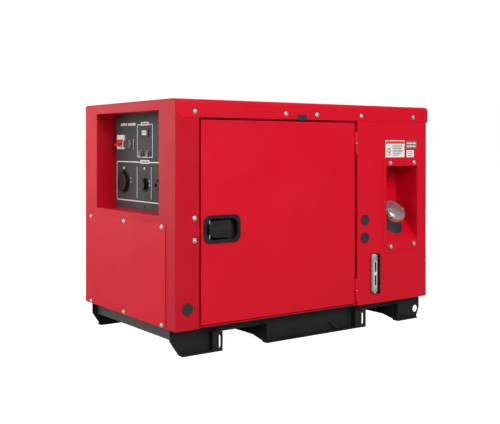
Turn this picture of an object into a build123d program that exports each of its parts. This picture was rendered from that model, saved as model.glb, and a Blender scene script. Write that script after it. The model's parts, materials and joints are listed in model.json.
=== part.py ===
"""Engine driven welder: a closed sheet-metal cabinet on a fork-lift skid.

The frame's origin is on the floor under the middle of the cabinet. +X runs from the control
end to the exhaust end, -Y is the side with the service door, and +Z is up. Everything is in mm.
"""
import os
from math import cos, radians, sin, sqrt

from build123d import *

# ---------------------------------------------------------------- cabinet
length = 1004.0  # cabinet, control end to exhaust end
width = 588.0
body_height = 650.0  # painted body, sill to roof
skid_height = 78.0
sheet = 2.0  # panels and doors
seam = 0.5  # gap between neighbouring sheets
post_width = 79.0  # corner posts folded from the control end panel
roof_flange = 52.0
roof_radius = 11.0
roof_overhang = 6.0  # beyond the exhaust end
corner_fold = 30.0  # side panels folded round the exhaust end
return_depth = 28.0  # folded edges beside the door
tray_thickness = 3.0
overlap = 38.0  # tabs behind the roof flange
step = 19.0  # notch at the roof flange's corner over the control end
grommet_from_end = 451.5
grommet_width = 43.0
grommet_height = 15.0
grommet_taper = 3.0

# ---------------------------------------------------------------- door
door_gap = 6.0
door_width = 586.0
hinge_gap = 11.0
door_flange = 22.0
foam_thickness = 18.0
hinge_height = 72.0
hinge_low = 15.0  # lower hinge above the sill
hinge_high = 491.0
knuckle_radius = 4.5
hinge_pin_radius = 2.5
washer_thickness = 1.5  # between a hinge's halves
hinge_stand_out = 2.0  # hinge axis outside the door's face
running = 0.05  # radial clearance of a shaft or pin
clear = 0.3  # gap between pieces that move past each other

# ---------------------------------------------------------------- latch
latch_width = 127.0
latch_height = 81.0
latch_inset = 8.0  # bezel's edge from the door's edge
latch_centre = 278.5  # above the sill
latch_corner = 20.0
latch_rim = 10.0
pan_corner = 22.0
pan_depth = 20.0
bezel_thickness = 3.0
pan_wall = 1.5
paddle_length = 76.0
paddle_height = 49.0
paddle_thickness = 4.0
paddle_barrel = 4.0
paddle_inset = 8.0  # paddle's end from the pan's edge
paddle_pin_inset = 4.0
latch_pin_radius = 2.0
bolt_width = 9.0
bolt_thickness = 7.0
bolt_depth = 12.5  # bolt's middle behind the door's face
bolt_tip_gap = 1.0  # from the striker

# ---------------------------------------------------------------- screws and plugs
screw_flange_radius = 7.0
screw_head_radius = 4.9
screw_head_height = 4.2
screw_radius = 2.9
screw_hole_radius = 3.3
screw_length = 9.0
plug_radius = 17.5
plug_stem_radius = 14.0
plug_dome = 3.0
rail_screw_scale = 0.62  # the skid's screws are smaller

# ---------------------------------------------------------------- control end
opening_side = 92.0  # control opening from the door side's corner
opening_far = 86.0  # and from the far corner
opening_top = 30.0  # below the roof
opening_height = 303.0
recess_depth = 70.0
recess_wall = 1.5
recess_flange = 12.0
plate_thickness = 2.0
cover_thickness = 2.0
cover_side = 52.0
cover_far = 28.0
cover_drop = 21.0  # cover's top edge below the control opening
cover_screw_inset = 20.0

# ---------------------------------------------------------------- filler and tank
pocket_from_end = 120.0  # pocket's middle from the exhaust end
pocket_width = 146.0
pocket_low = 200.0  # opening's lower edge above the sill
pocket_high = 450.0
pocket_depth = 100.0
pocket_wall = 1.5
pocket_rim_side = 15.0
pocket_rim_low = 34.0
pocket_rim_high = 25.0
neck_depth = 67.0  # where the neck meets the sloping floor
neck_radius = 22.0
neck_wall = 2.0
neck_above = 30.0
boot_radius = 38.0  # under the cap
boot_foot_radius = 44.0
boot_foot_shift = 16.0  # its foot stands nearer the door side
boot_height = 24.0
cap_radius = 41.0
cap_low = 27.0  # cap's skirt above the sloping floor
cap_height = 23.0
gasket_height = 3.0
tank_start = 700.0  # from the control end
tank_end_gap = 14.0
tank_front_gap = 12.0
tank_depth = 420.0
tank_top = 180.0
tank_wall = 3.0
gauge_x = 750.5
gauge_centre = 99.0
gauge_height = 127.0
gauge_width = 17.0
gauge_depth = 10.0
gauge_wall = 3.0
guard_gap = 3.0  # between the gauge and its guard
guard_stand_out = 22.0
guard_corner = 5.0
guard_thickness = 2.0
gauge_bolt_spacing = 104.0
gauge_bolt_radius = 4.9
gauge_head_radius = 6.5
gauge_head_height = 4.0

# ---------------------------------------------------------------- skid
rail_inset = 19.0  # flanges' outer edges from the cabinet's sides
rail_plate = 4.0
rail_rim = 20.0  # webs stand back from the flanges' edges
rail_start = 6.0  # webs' first edge from the control end
rail_beyond = 4.0  # webs reach past the exhaust end
toe_rise = 44.0
toe_length = 30.0
heel_length = 14.0
heel_rise = 31.0
heel_cut = 16.0  # heel flange's corner is cut off
fork_one = (171.0, 331.0)  # fork pockets, from the control end
fork_two_from_end = (119.0, 267.0)  # and from the exhaust end
fork_clear_height = 53.0
fork_corner = 7.0
channel_plate = 3.0
channel_rise = 14.0
channel_taper = 50.0
slot_width = 12.5
slot_height = 38.0
slot_low = 10.0
slot_tabs = ((34.0, 11.75), (47.0, 15.5))  # width of each slotted tab and its slot from its edge
lashing_radius = 12.0
lashing_from_end = 14.3
lashing_height = 29.0
skirt_inset = 25.0
skirt_height = 38.0
skirt_plate = 3.0
skirt_lip = 20.0
tray_flange = 22.0
drain_hole = (32.0, 18.0)  # drain holes from the middle of the tray, and their size
drain_pipe_radius = 2.6
drain_pipe = ((588.0, 37.4), (617.0, 9.0))  # oil drain from the control end, and its height

# ---------------------------------------------------------------- louvres and outlet
louvre_rows = 9
louvre_pitch = 26.0
louvre_width = 120.0
louvre_stand_out = 12.0
louvre_opening = 12.0
louvre_hood = 8.0  # hood's root above its opening
louvre_low = 190.0
inlet_columns = (150.0, 300.0)
outlet_slots = 9
outlet_columns = 2
outlet_slot_width = 190.0
outlet_slot_height = 12.0
outlet_pitch = 24.0
outlet_column_gap = 20.0
outlet_y = -95.0
outlet_height = 360.0  # above the sill

# ---------------------------------------------------------------- controls
breaker_size = (52.5, 46.0)
breaker_proud = 7.0
breaker_tail = (45.0, 60.0)  # how deep its body and its terminals reach
toggle_radius = 8.0
toggle_width = 34.0
toggle_reach = 21.0
toggle_thickness = 6.0
toggle_tilt = 35.0  # below the level
meter_size = (46.0, 20.0)
meter_frame = 3.0
fuse_radius = 10.0
fuse_height = 8.0
fuse_hole_radius = 6.2
key_radius = 3.0
key_collar_radius = 13.0
key_hole_radius = 9.2
dial_radius = 19.0
dial_height = 15.0
dial_shaft = 3.0
large_socket_radius = 29.0
small_socket_radius = 14.0
socket_height = 7.0
socket_flange = 6.0
lid_thickness = 4.0
lid_pin_radius = 1.5
terminal_radius = 17.0
terminal_bore = 6.5
terminal_height = 22.0
lamp_radius = 4.5
lamp_hole_radius = 3.2
behind = 30.0  # how far the fittings reach behind the plate

# ---------------------------------------------------------------- engine and generator
shaft_y = 20.0
shaft_height = 255.0  # above the floor
shaft_radius = 20.0
mount_height = 25.0
mount_radius = 25.0
housing_start = 192.0  # generator housing from the control end
housing_length = 240.0
housing_radius = 130.0
housing_wall = 18.0
air_gap = 4.0
crankcase_length = 190.0
crankcase_half_width = 110.0
crankcase_top = 370.0  # above the floor
crank_cavity = 88.0
crank_web_radius = 66.0
barrel_height = 100.0
barrel_radius = 52.0
barrel_bore = 40.0
fin_size = 136.0
fin_thickness = 3.0
fin_pitch = 9.0
head_height = 90.0
fan_radius = 125.0
shroud_radius = 150.0
shroud_length = 66.0
shroud_intake = 92.0
muffler_radius = 68.0
muffler_length = 340.0
muffler_from_end = 172.0
muffler_height = 420.0
tailpipe_radius = 20.0
tailpipe_y = 150.0
exhaust_port_height = 60.0  # above the head's foot
exhaust_port_radius = 17.0
air_cleaner_offset = 150.0
air_cleaner_radius = 55.0
air_cleaner_height = 120.0
battery_from_end = (60.0, 180.0)
battery_rear_gap = 48.0
battery_width = 180.0
battery_height = 160.0
reactor_from_end = (50.0, 170.0)
reactor_side_gap = 54.0
reactor_width = 190.0
reactor_height = 130.0
reactor_fin_height = 35.0
reactor_fin_pitch = 18.0
reactor_fin_thickness = 4.0


def from_end(distance):
    """X at a distance from the control end."""
    return distance - length / 2


def from_side(distance):
    """Y at a distance from the door side's face."""
    return distance - width / 2


def above_sill(height):
    """Z at a height above the cabinet's lower edge."""
    return skid_height + height


def block(x, y, z, mode=Mode.ADD):
    """A box between the low and high values of x, y and z."""
    with Locations(((x[0] + x[1]) / 2, (y[0] + y[1]) / 2, (z[0] + z[1]) / 2)):
        Box(x[1] - x[0], y[1] - y[0], z[1] - z[0], mode=mode)


def rod(start, direction, radius, size, mode=Mode.ADD):
    """A round bar from a start point along a direction."""
    with Locations(Plane(origin=start, z_dir=direction)):
        Cylinder(radius, size, align=(Align.CENTER, Align.CENTER, Align.MIN), mode=mode)


def area(u, v, radius=0.0, mode=Mode.ADD):
    """A rectangle in a sketch between the low and high values of u and v."""
    with Locations(((u[0] + u[1]) / 2, (v[0] + v[1]) / 2)):
        if radius:
            RectangleRounded(u[1] - u[0], v[1] - v[0], radius, mode=mode)
        else:
            Rectangle(u[1] - u[0], v[1] - v[0], mode=mode)


def outline(points, mode=Mode.ADD):
    """A closed outline in a sketch."""
    Polygon(*points, align=None, mode=mode)


left, right = from_end(0), from_end(length)
front, rear = from_side(0), from_side(width)
sill, roof_top = above_sill(0), above_sill(body_height)
flange_low = roof_top - roof_flange
panel_top = flange_low - seam
tray_top = sill + tray_thickness
front_face = Plane.XZ.offset(-front)  # faces the door side
control_face = Plane.YZ.offset(left)
exhaust_face = Plane.YZ.offset(right)

door_left = left + post_width + door_gap
door_right = door_left + door_width
door_low = sill + 8.0
door_high = flange_low - door_gap
panel_start = door_right + hinge_gap
hinge_x = door_right + hinge_gap / 2
hinge_y = front - hinge_stand_out

opening_y = (from_side(opening_side), from_side(width - opening_far))
opening_z = (roof_top - opening_top - opening_height, roof_top - opening_top)
cover_y = (from_side(cover_side), from_side(width - cover_far))
cover_z = (sill + 2.0, opening_z[0] - cover_drop)
plate_x = left + recess_depth

pocket_x = (right - pocket_from_end - pocket_width / 2, right - pocket_from_end + pocket_width / 2)
pocket_z = (above_sill(pocket_low), above_sill(pocket_high))
fork_two = (length - fork_two_from_end[1], length - fork_two_from_end[0])
rail_faces = (from_side(rail_inset), from_side(width - rail_inset))
webs = (rail_faces[0] + rail_rim, rail_faces[1] - rail_rim)
between_rails = (webs[0] + rail_plate, webs[1] - rail_plate)
rail_x = (left + rail_start, right + rail_beyond)

grommet_x = from_end(grommet_from_end)
# Where the flange screws go: heads on the outside, shanks through the sheets.
roof_screw_x = [from_end(66), from_end(391), from_end(513), panel_start + 18, right - 64]
roof_screw_z = flange_low + 16.5
post_screw_z = [above_sill(250), above_sill(313)]
post_screw_x = from_end(64)
pocket_screws = [
    (pocket_x[0] + 20, pocket_z[1] + 10.5),
    (pocket_x[1] - 14, pocket_z[1] + 11),
    (pocket_x[0] + 22, pocket_z[0] - 19),
    (pocket_x[1] - 14, pocket_z[0] - 16),
]
cover_screws = [
    (y, z)
    for y in (cover_y[0] + cover_screw_inset, sum(cover_y) / 2, cover_y[1] - cover_screw_inset)
    for z in (cover_z[0] + 6, cover_z[1] - 9.5)
]
rail_screws = [(84, 15), (158, 17), (fork_two[0] - 19, 14), (length - 39, 16)]
exhaust_screws = [
    (y, z)
    for y in (front + corner_fold + 12, 0, rear - corner_fold - 12)
    for z in (sill + 12, panel_top - 12)
]
plug_places = [
    (from_end(40), above_sill(60)),
    (panel_start + 33, above_sill(276)),
    (panel_start + 33, above_sill(218)),
]

latch_x = (door_left + latch_inset, door_left + latch_inset + latch_width)
latch_z = (above_sill(latch_centre) - latch_height / 2, above_sill(latch_centre) + latch_height / 2)
pan_x = (latch_x[0] + latch_rim, latch_x[1] - latch_rim)
pan_z = (latch_z[0] + latch_rim, latch_z[1] - latch_rim)
bolt_y = (front + bolt_depth - bolt_thickness / 2, front + bolt_depth + bolt_thickness / 2)
bolt_z = (above_sill(latch_centre) - bolt_width / 2, above_sill(latch_centre) + bolt_width / 2)
bolt_slot_y = (bolt_y[0] - clear, bolt_y[1] + clear)
bolt_slot_z = (bolt_z[0] - clear, bolt_z[1] + clear)
paddle_x = (pan_x[0] + paddle_inset, pan_x[0] + paddle_inset + paddle_length)
paddle_axis_x = paddle_x[0] + paddle_pin_inset
paddle_axis_y = front + 3.0
paddle_axis = (paddle_axis_x, paddle_axis_y, above_sill(latch_centre))
latch_pin_length = pan_z[1] - pan_z[0] + 1.5 * pan_wall

# ---------------------------------------------------------------- base and skid
with BuildPart() as base_tray:
    block(
        (left + sheet + seam, right - sheet - seam),
        (front + sheet + seam, rear - sheet - seam),
        (sill, tray_top),
    )
    for y in (between_rails[0], between_rails[1] - sheet):
        between_skirts = (left + 2 * skirt_inset, right - 2 * skirt_inset)
        block(between_skirts, (y, y + sheet), (sill - tray_flange, sill))
    with Locations(*[(side * 2 * drain_hole[0], 0, sill) for side in (-1, 1)]):
        Cylinder(drain_hole[1], 4 * tray_thickness, mode=Mode.SUBTRACT)
    for x, down in rail_screws:
        for y in between_rails:
            hole = screw_hole_radius * rail_screw_scale
            rod((from_end(x), y - 10, sill - down), (0, 1, 0), hole, 20, mode=Mode.SUBTRACT)


def skid_outline():
    """One rail's web seen from the side, with its toe, its heel and the two fork openings."""
    outline(
        [
            (rail_x[0], toe_rise),
            (rail_x[0], sill),
            (rail_x[1], sill),
            (rail_x[1], heel_rise),
            (rail_x[1] - heel_length, 0),
            (rail_x[0] + toe_length, 0),
        ]
    )
    for low, high in (fork_one, fork_two):
        area(
            (from_end(low), from_end(high)),
            (-2 * fork_corner, fork_clear_height),
            fork_corner,
            Mode.SUBTRACT,
        )
    with Locations((right - lashing_from_end, lashing_height)):
        Circle(lashing_radius, mode=Mode.SUBTRACT)
    with Locations(*[(from_end(x), sill - down) for x, down in rail_screws]):
        Circle(screw_hole_radius * rail_screw_scale, mode=Mode.SUBTRACT)


rim_y = (rail_faces[0], webs[0] + rail_plate / 2)
rim_z = (0, fork_clear_height + rail_plate)
with BuildPart() as skid_rail_front:
    with BuildSketch(Plane.XZ.offset(-webs[0])):
        skid_outline()
    extrude(amount=-rail_plate)
    feet = (
        (rail_x[0] + toe_length, from_end(fork_one[0])),
        (from_end(fork_one[1]), from_end(fork_two[0])),
        (from_end(fork_two[1]), rail_x[1] - heel_length),
    )
    for low, high in feet:
        block((low, high), rim_y, (0, rail_plate))
    for edge in (feet[1][0], feet[2][0]):
        block((edge, edge + rail_plate), rim_y, rim_z)
    for edge, (tab, slot_inset) in zip((feet[0][1], feet[1][1]), slot_tabs):
        block((edge - tab, edge), (rail_faces[0], rail_faces[0] + rail_plate), rim_z)
        block((edge - tab, edge - tab + rail_plate), rim_y, rim_z)
        with BuildSketch(Plane.XZ.offset(-rail_faces[0] + 1)):
            with Locations((edge - slot_inset, slot_low + slot_height / 2)):
                SlotOverall(slot_height, slot_width, rotation=90)
        extrude(amount=-(rail_plate + 2), mode=Mode.SUBTRACT)
    with BuildSketch():
        outline(
            [
                (feet[2][1] - heel_cut, rail_faces[0] - 1),
                (feet[2][1] + 1, rail_faces[0] - 1),
                (feet[2][1] + 1, webs[0]),
            ]
        )
    extrude(amount=rail_plate, mode=Mode.SUBTRACT)
    pipe_start = Vector(from_end(drain_pipe[0][0]), webs[0] + rail_plate / 2, drain_pipe[0][1])
    pipe_end = Vector(from_end(drain_pipe[1][0]), rail_faces[0] + drain_pipe_radius, drain_pipe[1][1])
    rod(pipe_start, pipe_end - pipe_start, drain_pipe_radius, (pipe_end - pipe_start).length)

with BuildPart() as skid_rail_rear:
    add(mirror(skid_rail_front.part, about=Plane.XZ))

with BuildPart() as fork_channels:
    for pocket in (fork_one, fork_two):
        low, high = from_end(pocket[0]), from_end(pocket[1])
        with BuildSketch(Plane.YZ.offset(low - channel_plate)):
            outline(
                [
                    (between_rails[0], rail_plate),
                    (between_rails[0] + channel_taper, channel_rise),
                    (between_rails[1] - channel_taper, channel_rise),
                    (between_rails[1], rail_plate),
                    (between_rails[1], fork_clear_height + channel_plate),
                    (between_rails[0], fork_clear_height + channel_plate),
                ]
            )
        extrude(amount=high - low + 2 * channel_plate)
        block((low, high), (front, rear), (0, fork_clear_height), Mode.SUBTRACT)

with BuildPart() as end_skirts:
    for side in (-1, 1):
        face = side * (length / 2 - skirt_inset)
        web = sorted((face, face - side * skirt_plate))
        lip = sorted((face, face - side * skirt_lip))
        block(web, between_rails, (sill - skirt_height, sill))
        block(lip, between_rails, (sill - skirt_height, sill - skirt_height + skirt_plate))

# ---------------------------------------------------------------- cabinet shell
with BuildPart() as control_end_panel:
    with BuildSketch(control_face):
        area((front, rear), (sill, flange_low + overlap))
        inside_roof = (front + sheet + seam, rear - sheet - seam)
        area(inside_roof, (flange_low, roof_top - sheet - seam), roof_radius)
        area(opening_y, opening_z, mode=Mode.SUBTRACT)
        area(
            (cover_y[0] + 32, cover_y[1] - 32),
            (cover_z[0] + 26, cover_z[1] - 26),
            mode=Mode.SUBTRACT,
        )
        with Locations(*cover_screws):
            Circle(screw_hole_radius, mode=Mode.SUBTRACT)
    extrude(amount=sheet)
    with BuildSketch(front_face):
        outline(
            [
                (left, sill),
                (left + post_width, sill),
                (left + post_width, panel_top),
                (left + step - seam, panel_top),
                (left + sheet, flange_low + step),
                (left + sheet, flange_low + overlap),
                (left, flange_low + overlap),
            ]
        )
        with Locations(*[(post_screw_x, z) for z in post_screw_z]):
            Circle(screw_hole_radius, mode=Mode.SUBTRACT)
        with Locations(plug_places[0]):
            Circle(plug_stem_radius + clear, mode=Mode.SUBTRACT)
    extrude(amount=-sheet)
    block(
        (left + post_width - sheet, left + post_width),
        (front + sheet, front + return_depth),
        (sill + tray_thickness, panel_top),
    )
    block(
        (left + post_width - 2 * sheet, left + post_width + 1), bolt_slot_y, bolt_slot_z, Mode.SUBTRACT
    )
    with BuildSketch(front_face.offset(-sheet)):
        area((left + sheet, left + post_width), (panel_top - 18, panel_top + overlap))
        with Locations((roof_screw_x[0], roof_screw_z)):
            Circle(screw_hole_radius, mode=Mode.SUBTRACT)
    extrude(amount=-sheet)
    with BuildSketch(Plane.XZ.offset(-rear)):
        area((left, left + post_width), (sill, panel_top))
        with Locations(*[(post_screw_x, z) for z in post_screw_z]):
            Circle(screw_hole_radius, mode=Mode.SUBTRACT)
    extrude(amount=sheet)
    with BuildSketch(Plane.XZ.offset(-rear + sheet)):
        area((left + sheet, left + post_width), (panel_top - 18, panel_top + overlap))
        with Locations((roof_screw_x[0], roof_screw_z)):
            Circle(screw_hole_radius, mode=Mode.SUBTRACT)
    extrude(amount=sheet)
    upright = control_end_panel.edges().filter_by(Axis.Z)
    bends = upright.filter_by_position(Axis.X, left - 1, left + 0.1)
    fillet([e for e in bends if abs(e.center().Y) > width / 2 - 0.1 and e.length > 300], sheet)

with BuildPart() as lower_end_cover:
    with BuildSketch(control_face):
        area(cover_y, cover_z, 3.0)
        with Locations(*cover_screws):
            Circle(screw_hole_radius, mode=Mode.SUBTRACT)
    extrude(amount=-cover_thickness)

with BuildPart() as control_recess_box:
    outer_y = (opening_y[0] - recess_wall, opening_y[1] + recess_wall)
    outer_z = (opening_z[0] - recess_wall, opening_z[1] + recess_wall)
    block((left + sheet, plate_x), outer_y, outer_z)
    for x in ((left + sheet, left + sheet + recess_wall), (plate_x - recess_wall, plate_x)):
        block(
            x,
            (outer_y[0] - recess_flange, outer_y[1] + recess_flange),
            (outer_z[0] - recess_flange, outer_z[1] + recess_flange),
        )
    block((left, plate_x + 1), opening_y, opening_z, Mode.SUBTRACT)


def grommet(inside, below, under):
    """The tapered notch in the roof's flange, and the rubber grommet that fills it."""
    low, high = flange_low - below, flange_low + grommet_height - under
    foot, top = grommet_width / 2 - inside, grommet_width / 2 - grommet_taper - inside
    return [
        (grommet_x - foot, low),
        (grommet_x + foot, low),
        (grommet_x + top, high),
        (grommet_x - top, high),
    ]


with BuildPart() as roof_panel:
    block((left, right + roof_overhang), (front, rear), (flange_low, roof_top))
    top_edges = roof_panel.edges().group_by(Axis.Z)[-1]
    bent = top_edges.filter_by(Axis.X) + top_edges.filter_by(Axis.Y).sort_by(Axis.X)[-1:]
    fillet(bent, roof_radius)
    with BuildPart(mode=Mode.PRIVATE) as hollow:
        block(
            (left - 10, right + roof_overhang - sheet),
            (front + sheet, rear - sheet),
            (flange_low - 10, roof_top - sheet),
        )
        inner_edges = hollow.edges().group_by(Axis.Z)[-1]
        inner_bent = inner_edges.filter_by(Axis.X) + inner_edges.filter_by(Axis.Y).sort_by(Axis.X)[-1:]
        fillet(inner_bent, roof_radius - sheet)
    add(hollow.part, mode=Mode.SUBTRACT)
    with BuildSketch(Plane.XZ.offset(width)):
        outline(
            [
                (left - 1, flange_low - 1),
                (left + step - 1, flange_low - 1),
                (left + step, flange_low),
                (left + sheet + seam, flange_low + step),
                (left + sheet + seam, flange_low + overlap + seam),
                (left - 1, flange_low + overlap + seam),
            ]
        )
    extrude(amount=-2 * width, mode=Mode.SUBTRACT)
    with BuildSketch(Plane.XZ.offset(width)):
        outline(grommet(0, 1, 0))
    extrude(amount=-width, mode=Mode.SUBTRACT)
    for x in roof_screw_x:
        rod((x, -width, roof_screw_z), (0, 1, 0), screw_hole_radius, 2 * width, mode=Mode.SUBTRACT)

with BuildPart() as front_right_panel:
    with BuildSketch(front_face):
        area((panel_start, right), (sill, panel_top))
        area(
            (pocket_x[0] - 5, pocket_x[1] + 5),
            (pocket_z[0] - 9, pocket_z[1] + 5),
            mode=Mode.SUBTRACT,
        )
        with Locations(*pocket_screws):
            Circle(screw_hole_radius, mode=Mode.SUBTRACT)
        with Locations(*plug_places[1:]):
            Circle(plug_stem_radius + clear, mode=Mode.SUBTRACT)
        for side in (-1, 1):
            with Locations((from_end(gauge_x), above_sill(gauge_centre + side * gauge_bolt_spacing / 2))):
                Circle(gauge_bolt_radius + 0.6, mode=Mode.SUBTRACT)
    extrude(amount=-sheet)
    block((right - sheet, right), (front, front + corner_fold), (sill, panel_top))
    block((panel_start, panel_start + sheet), (front, front + return_depth), (tray_top, panel_top))
    with BuildSketch(front_face.offset(-sheet)):
        area((panel_start, right - sheet), (panel_top - 18, panel_top + overlap))
        with Locations(*[(x, roof_screw_z) for x in roof_screw_x[3:]]):
            Circle(screw_hole_radius, mode=Mode.SUBTRACT)
    extrude(amount=-sheet)
    outer_corner = front_right_panel.edges().filter_by(Axis.Z).filter_by(
        lambda e: abs(e.center().X - right) < 0.1 and abs(e.center().Y - front) < 0.1
    )
    fillet(outer_corner, 3 * sheet / 2)

with BuildPart() as rear_panel:
    with BuildSketch(Plane.XZ.offset(-rear)):
        area((left + post_width + seam, right), (sill, panel_top))
    extrude(amount=sheet)
    block((right - sheet, right), (rear - corner_fold, rear), (sill, panel_top))
    with BuildSketch(Plane.XZ.offset(-rear + sheet)):
        area((left + post_width + seam, right - sheet), (panel_top - 18, panel_top + overlap))
    extrude(amount=sheet)
    for x in roof_screw_x[1:]:
        rod((x, rear - 20, roof_screw_z), (0, 1, 0), screw_hole_radius, 40, mode=Mode.SUBTRACT)
    for column in inlet_columns:
        for row in range(louvre_rows):
            z = above_sill(louvre_low + row * louvre_pitch)
            x = (from_end(column) - louvre_width / 2, from_end(column) + louvre_width / 2)
            block(x, (rear - 2 * sheet, rear + 1), (z, z + louvre_opening), Mode.SUBTRACT)
            with BuildSketch(Plane.YZ.offset(x[0] - sheet)):
                outline(
                    [
                        (rear - 1, z + louvre_opening + louvre_hood),
                        (rear + louvre_stand_out, z),
                        (rear + louvre_stand_out - sheet, z),
                        (rear - 1, z + louvre_opening + louvre_hood - 1.5 * sheet),
                    ]
                )
            extrude(amount=louvre_width + 2 * sheet)
            for end in (x[0] - sheet, x[1]):
                with BuildSketch(Plane.YZ.offset(end)):
                    outline(
                        [
                            (rear - 1, z),
                            (rear + louvre_stand_out, z),
                            (rear - 1, z + louvre_opening + louvre_hood),
                        ]
                    )
                extrude(amount=sheet)

with BuildPart() as exhaust_end_panel:
    with BuildSketch(exhaust_face):
        area((front + corner_fold + seam, rear - corner_fold - seam), (sill, panel_top + overlap))
        with Locations(*exhaust_screws):
            Circle(screw_hole_radius, mode=Mode.SUBTRACT)
        with Locations((tailpipe_y, muffler_height)):
            Circle(tailpipe_radius + 4, mode=Mode.SUBTRACT)
    extrude(amount=-sheet)
    outlet_middle = (right, outlet_y, above_sill(outlet_height))
    with Locations(Plane(origin=outlet_middle, x_dir=(0, 1, 0), z_dir=(1, 0, 0))):
        with GridLocations(outlet_slot_width + outlet_column_gap, outlet_pitch, 1, outlet_slots):
            Box(outlet_slot_width, outlet_slot_height, 6 * sheet, mode=Mode.SUBTRACT)
    tab = (right - 2 * sheet, right - sheet)
    for y in ((front + sheet, front + corner_fold + 20), (rear - corner_fold - 20, rear - sheet)):
        block(tab, y, (sill + tray_thickness, panel_top - 20))
    for y, z in exhaust_screws:
        rod((right - 10, y, z), (1, 0, 0), screw_hole_radius, 20, mode=Mode.SUBTRACT)

with BuildPart() as filler_pocket:
    with BuildSketch(front_face):
        low, high = pocket_z[0] - pocket_rim_low, pocket_z[1] + pocket_rim_high
        outline(
            [
                (pocket_x[0] - pocket_rim_side, low + 29),
                (pocket_x[0] - pocket_rim_side, high),
                (pocket_x[1] + pocket_rim_side, high),
                (pocket_x[1] + pocket_rim_side, low),
                (pocket_x[0] + 18, low),
            ]
        )
        with Locations(*pocket_screws):
            Circle(screw_hole_radius, mode=Mode.SUBTRACT)
    extrude(amount=pocket_wall)
    with BuildSketch(Plane.YZ.offset(pocket_x[0] - pocket_wall)):
        outline(
            [
                (front - pocket_wall / 2, pocket_z[0] - pocket_wall * sqrt(2)),
                (front + pocket_depth + pocket_wall, pocket_z[0] + pocket_depth - pocket_wall * 0.4),
                (front + pocket_depth + pocket_wall, pocket_z[1] + pocket_wall),
                (front - pocket_wall / 2, pocket_z[1] + pocket_wall),
            ]
        )
    extrude(amount=pocket_width + 2 * pocket_wall)
    with BuildSketch(Plane.YZ.offset(pocket_x[0])):
        outline(
            [
                (front - 4 * pocket_wall, pocket_z[0]),
                (front, pocket_z[0]),
                (front + pocket_depth, pocket_z[0] + pocket_depth),
                (front + pocket_depth, pocket_z[1]),
                (front - 4 * pocket_wall, pocket_z[1]),
            ]
        )
    extrude(amount=pocket_width, mode=Mode.SUBTRACT)
    neck_foot = (sum(pocket_x) / 2, front + neck_depth, pocket_z[0] + neck_depth)
    neck_plane = Plane(origin=neck_foot, x_dir=(1, 0, 0), z_dir=(0, -1, 1))
    with Locations(neck_plane):
        Cylinder(neck_radius + 0.4, 20, mode=Mode.SUBTRACT)

with BuildPart() as door_frame:
    frame_y = (front + return_depth, front + return_depth + sheet)
    block((left + post_width - sheet, panel_start + sheet), frame_y, (tray_top, flange_low + sheet))
    block(
        (left + post_width + 26, panel_start - 32),
        (frame_y[0] - 1, frame_y[1] + 1),
        (tray_top + 30, flange_low - 28),
        Mode.SUBTRACT,
    )
    inside = (left + post_width + seam, panel_start - seam)
    block(inside, (front + sheet, frame_y[0]), (flange_low, flange_low + sheet))
    block(inside, (front + sheet, front + 2 * sheet), (flange_low + sheet, panel_top + overlap))
    block(inside, (front + sheet + seam, frame_y[0]), (tray_top, tray_top + sheet))
    for x in roof_screw_x[1:3]:
        rod((x, front - 5, roof_screw_z), (0, 1, 0), screw_hole_radius, 20, mode=Mode.SUBTRACT)

seal_low = door_flange + clear
with BuildPart() as door_seal:
    with BuildSketch(front_face.offset(-seal_low)):
        area((door_left + 1, door_right - 1), (door_low + 1, door_high - 1), 6)
        area((door_left + 12, door_right - 12), (door_low + 12, door_high - 12), 3, Mode.SUBTRACT)
    extrude(amount=-(return_depth - seal_low))

# ---------------------------------------------------------------- door
with BuildPart() as front_door:
    with BuildSketch(front_face):
        area((door_left, door_right), (door_low, door_high))
    extrude(amount=-door_flange)
    block(
        (door_left + sheet, door_right - sheet),
        (front + sheet, front + door_flange + 1),
        (door_low + sheet, door_high - sheet),
        Mode.SUBTRACT,
    )
    with BuildSketch(front_face):
        area(
            (pan_x[0] - pan_wall - 1, pan_x[1] + pan_wall + 1),
            (pan_z[0] - pan_wall - 1, pan_z[1] + pan_wall + 1),
            pan_corner,
        )
    extrude(amount=-2 * sheet, mode=Mode.SUBTRACT)
    block((door_left - 1, door_left + 2 * sheet), bolt_slot_y, bolt_slot_z, Mode.SUBTRACT)
    fillet(front_door.edges().group_by(Axis.Y)[0].filter_by(lambda e: e.length > 400), 0.6 * sheet)

with BuildPart() as door_foam:
    block(
        (door_left + 3 * sheet, door_right - 3 * sheet),
        (front + sheet, front + sheet + foam_thickness),
        (door_low + 3 * sheet, door_high - 3 * sheet),
    )
    block(
        (door_left, latch_x[1] + 6),
        (front, front + 4 * foam_thickness),
        (latch_z[0] - 6, latch_z[1] + 6),
        Mode.SUBTRACT,
    )


def hinge_leaf(low, height, leaf_x, leaf_depth, bore):
    """One half of a lift-off hinge: a flat leaf with a knuckle along its outer edge."""
    block(leaf_x, (hinge_y, hinge_y + leaf_depth), (low, low + height))
    rod((hinge_x, hinge_y, low), (0, 0, 1), knuckle_radius, height)
    rod((hinge_x, hinge_y, low - 1), (0, 0, 1), bore, height + 2, mode=Mode.SUBTRACT)


hinge_half = hinge_height / 2
hinge_places = [above_sill(hinge_low), above_sill(hinge_high)]
with BuildPart() as hinge_frame_leaves:
    for low in hinge_places:
        hinge_leaf(
            low,
            hinge_half - washer_thickness - clear,
            (panel_start - sheet, panel_start),
            24,
            hinge_pin_radius + running,
        )
with BuildPart() as hinge_door_leaves:
    for low in hinge_places:
        hinge_leaf(low + hinge_half, hinge_half, (door_right, door_right + sheet), 20, hinge_pin_radius)

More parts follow.
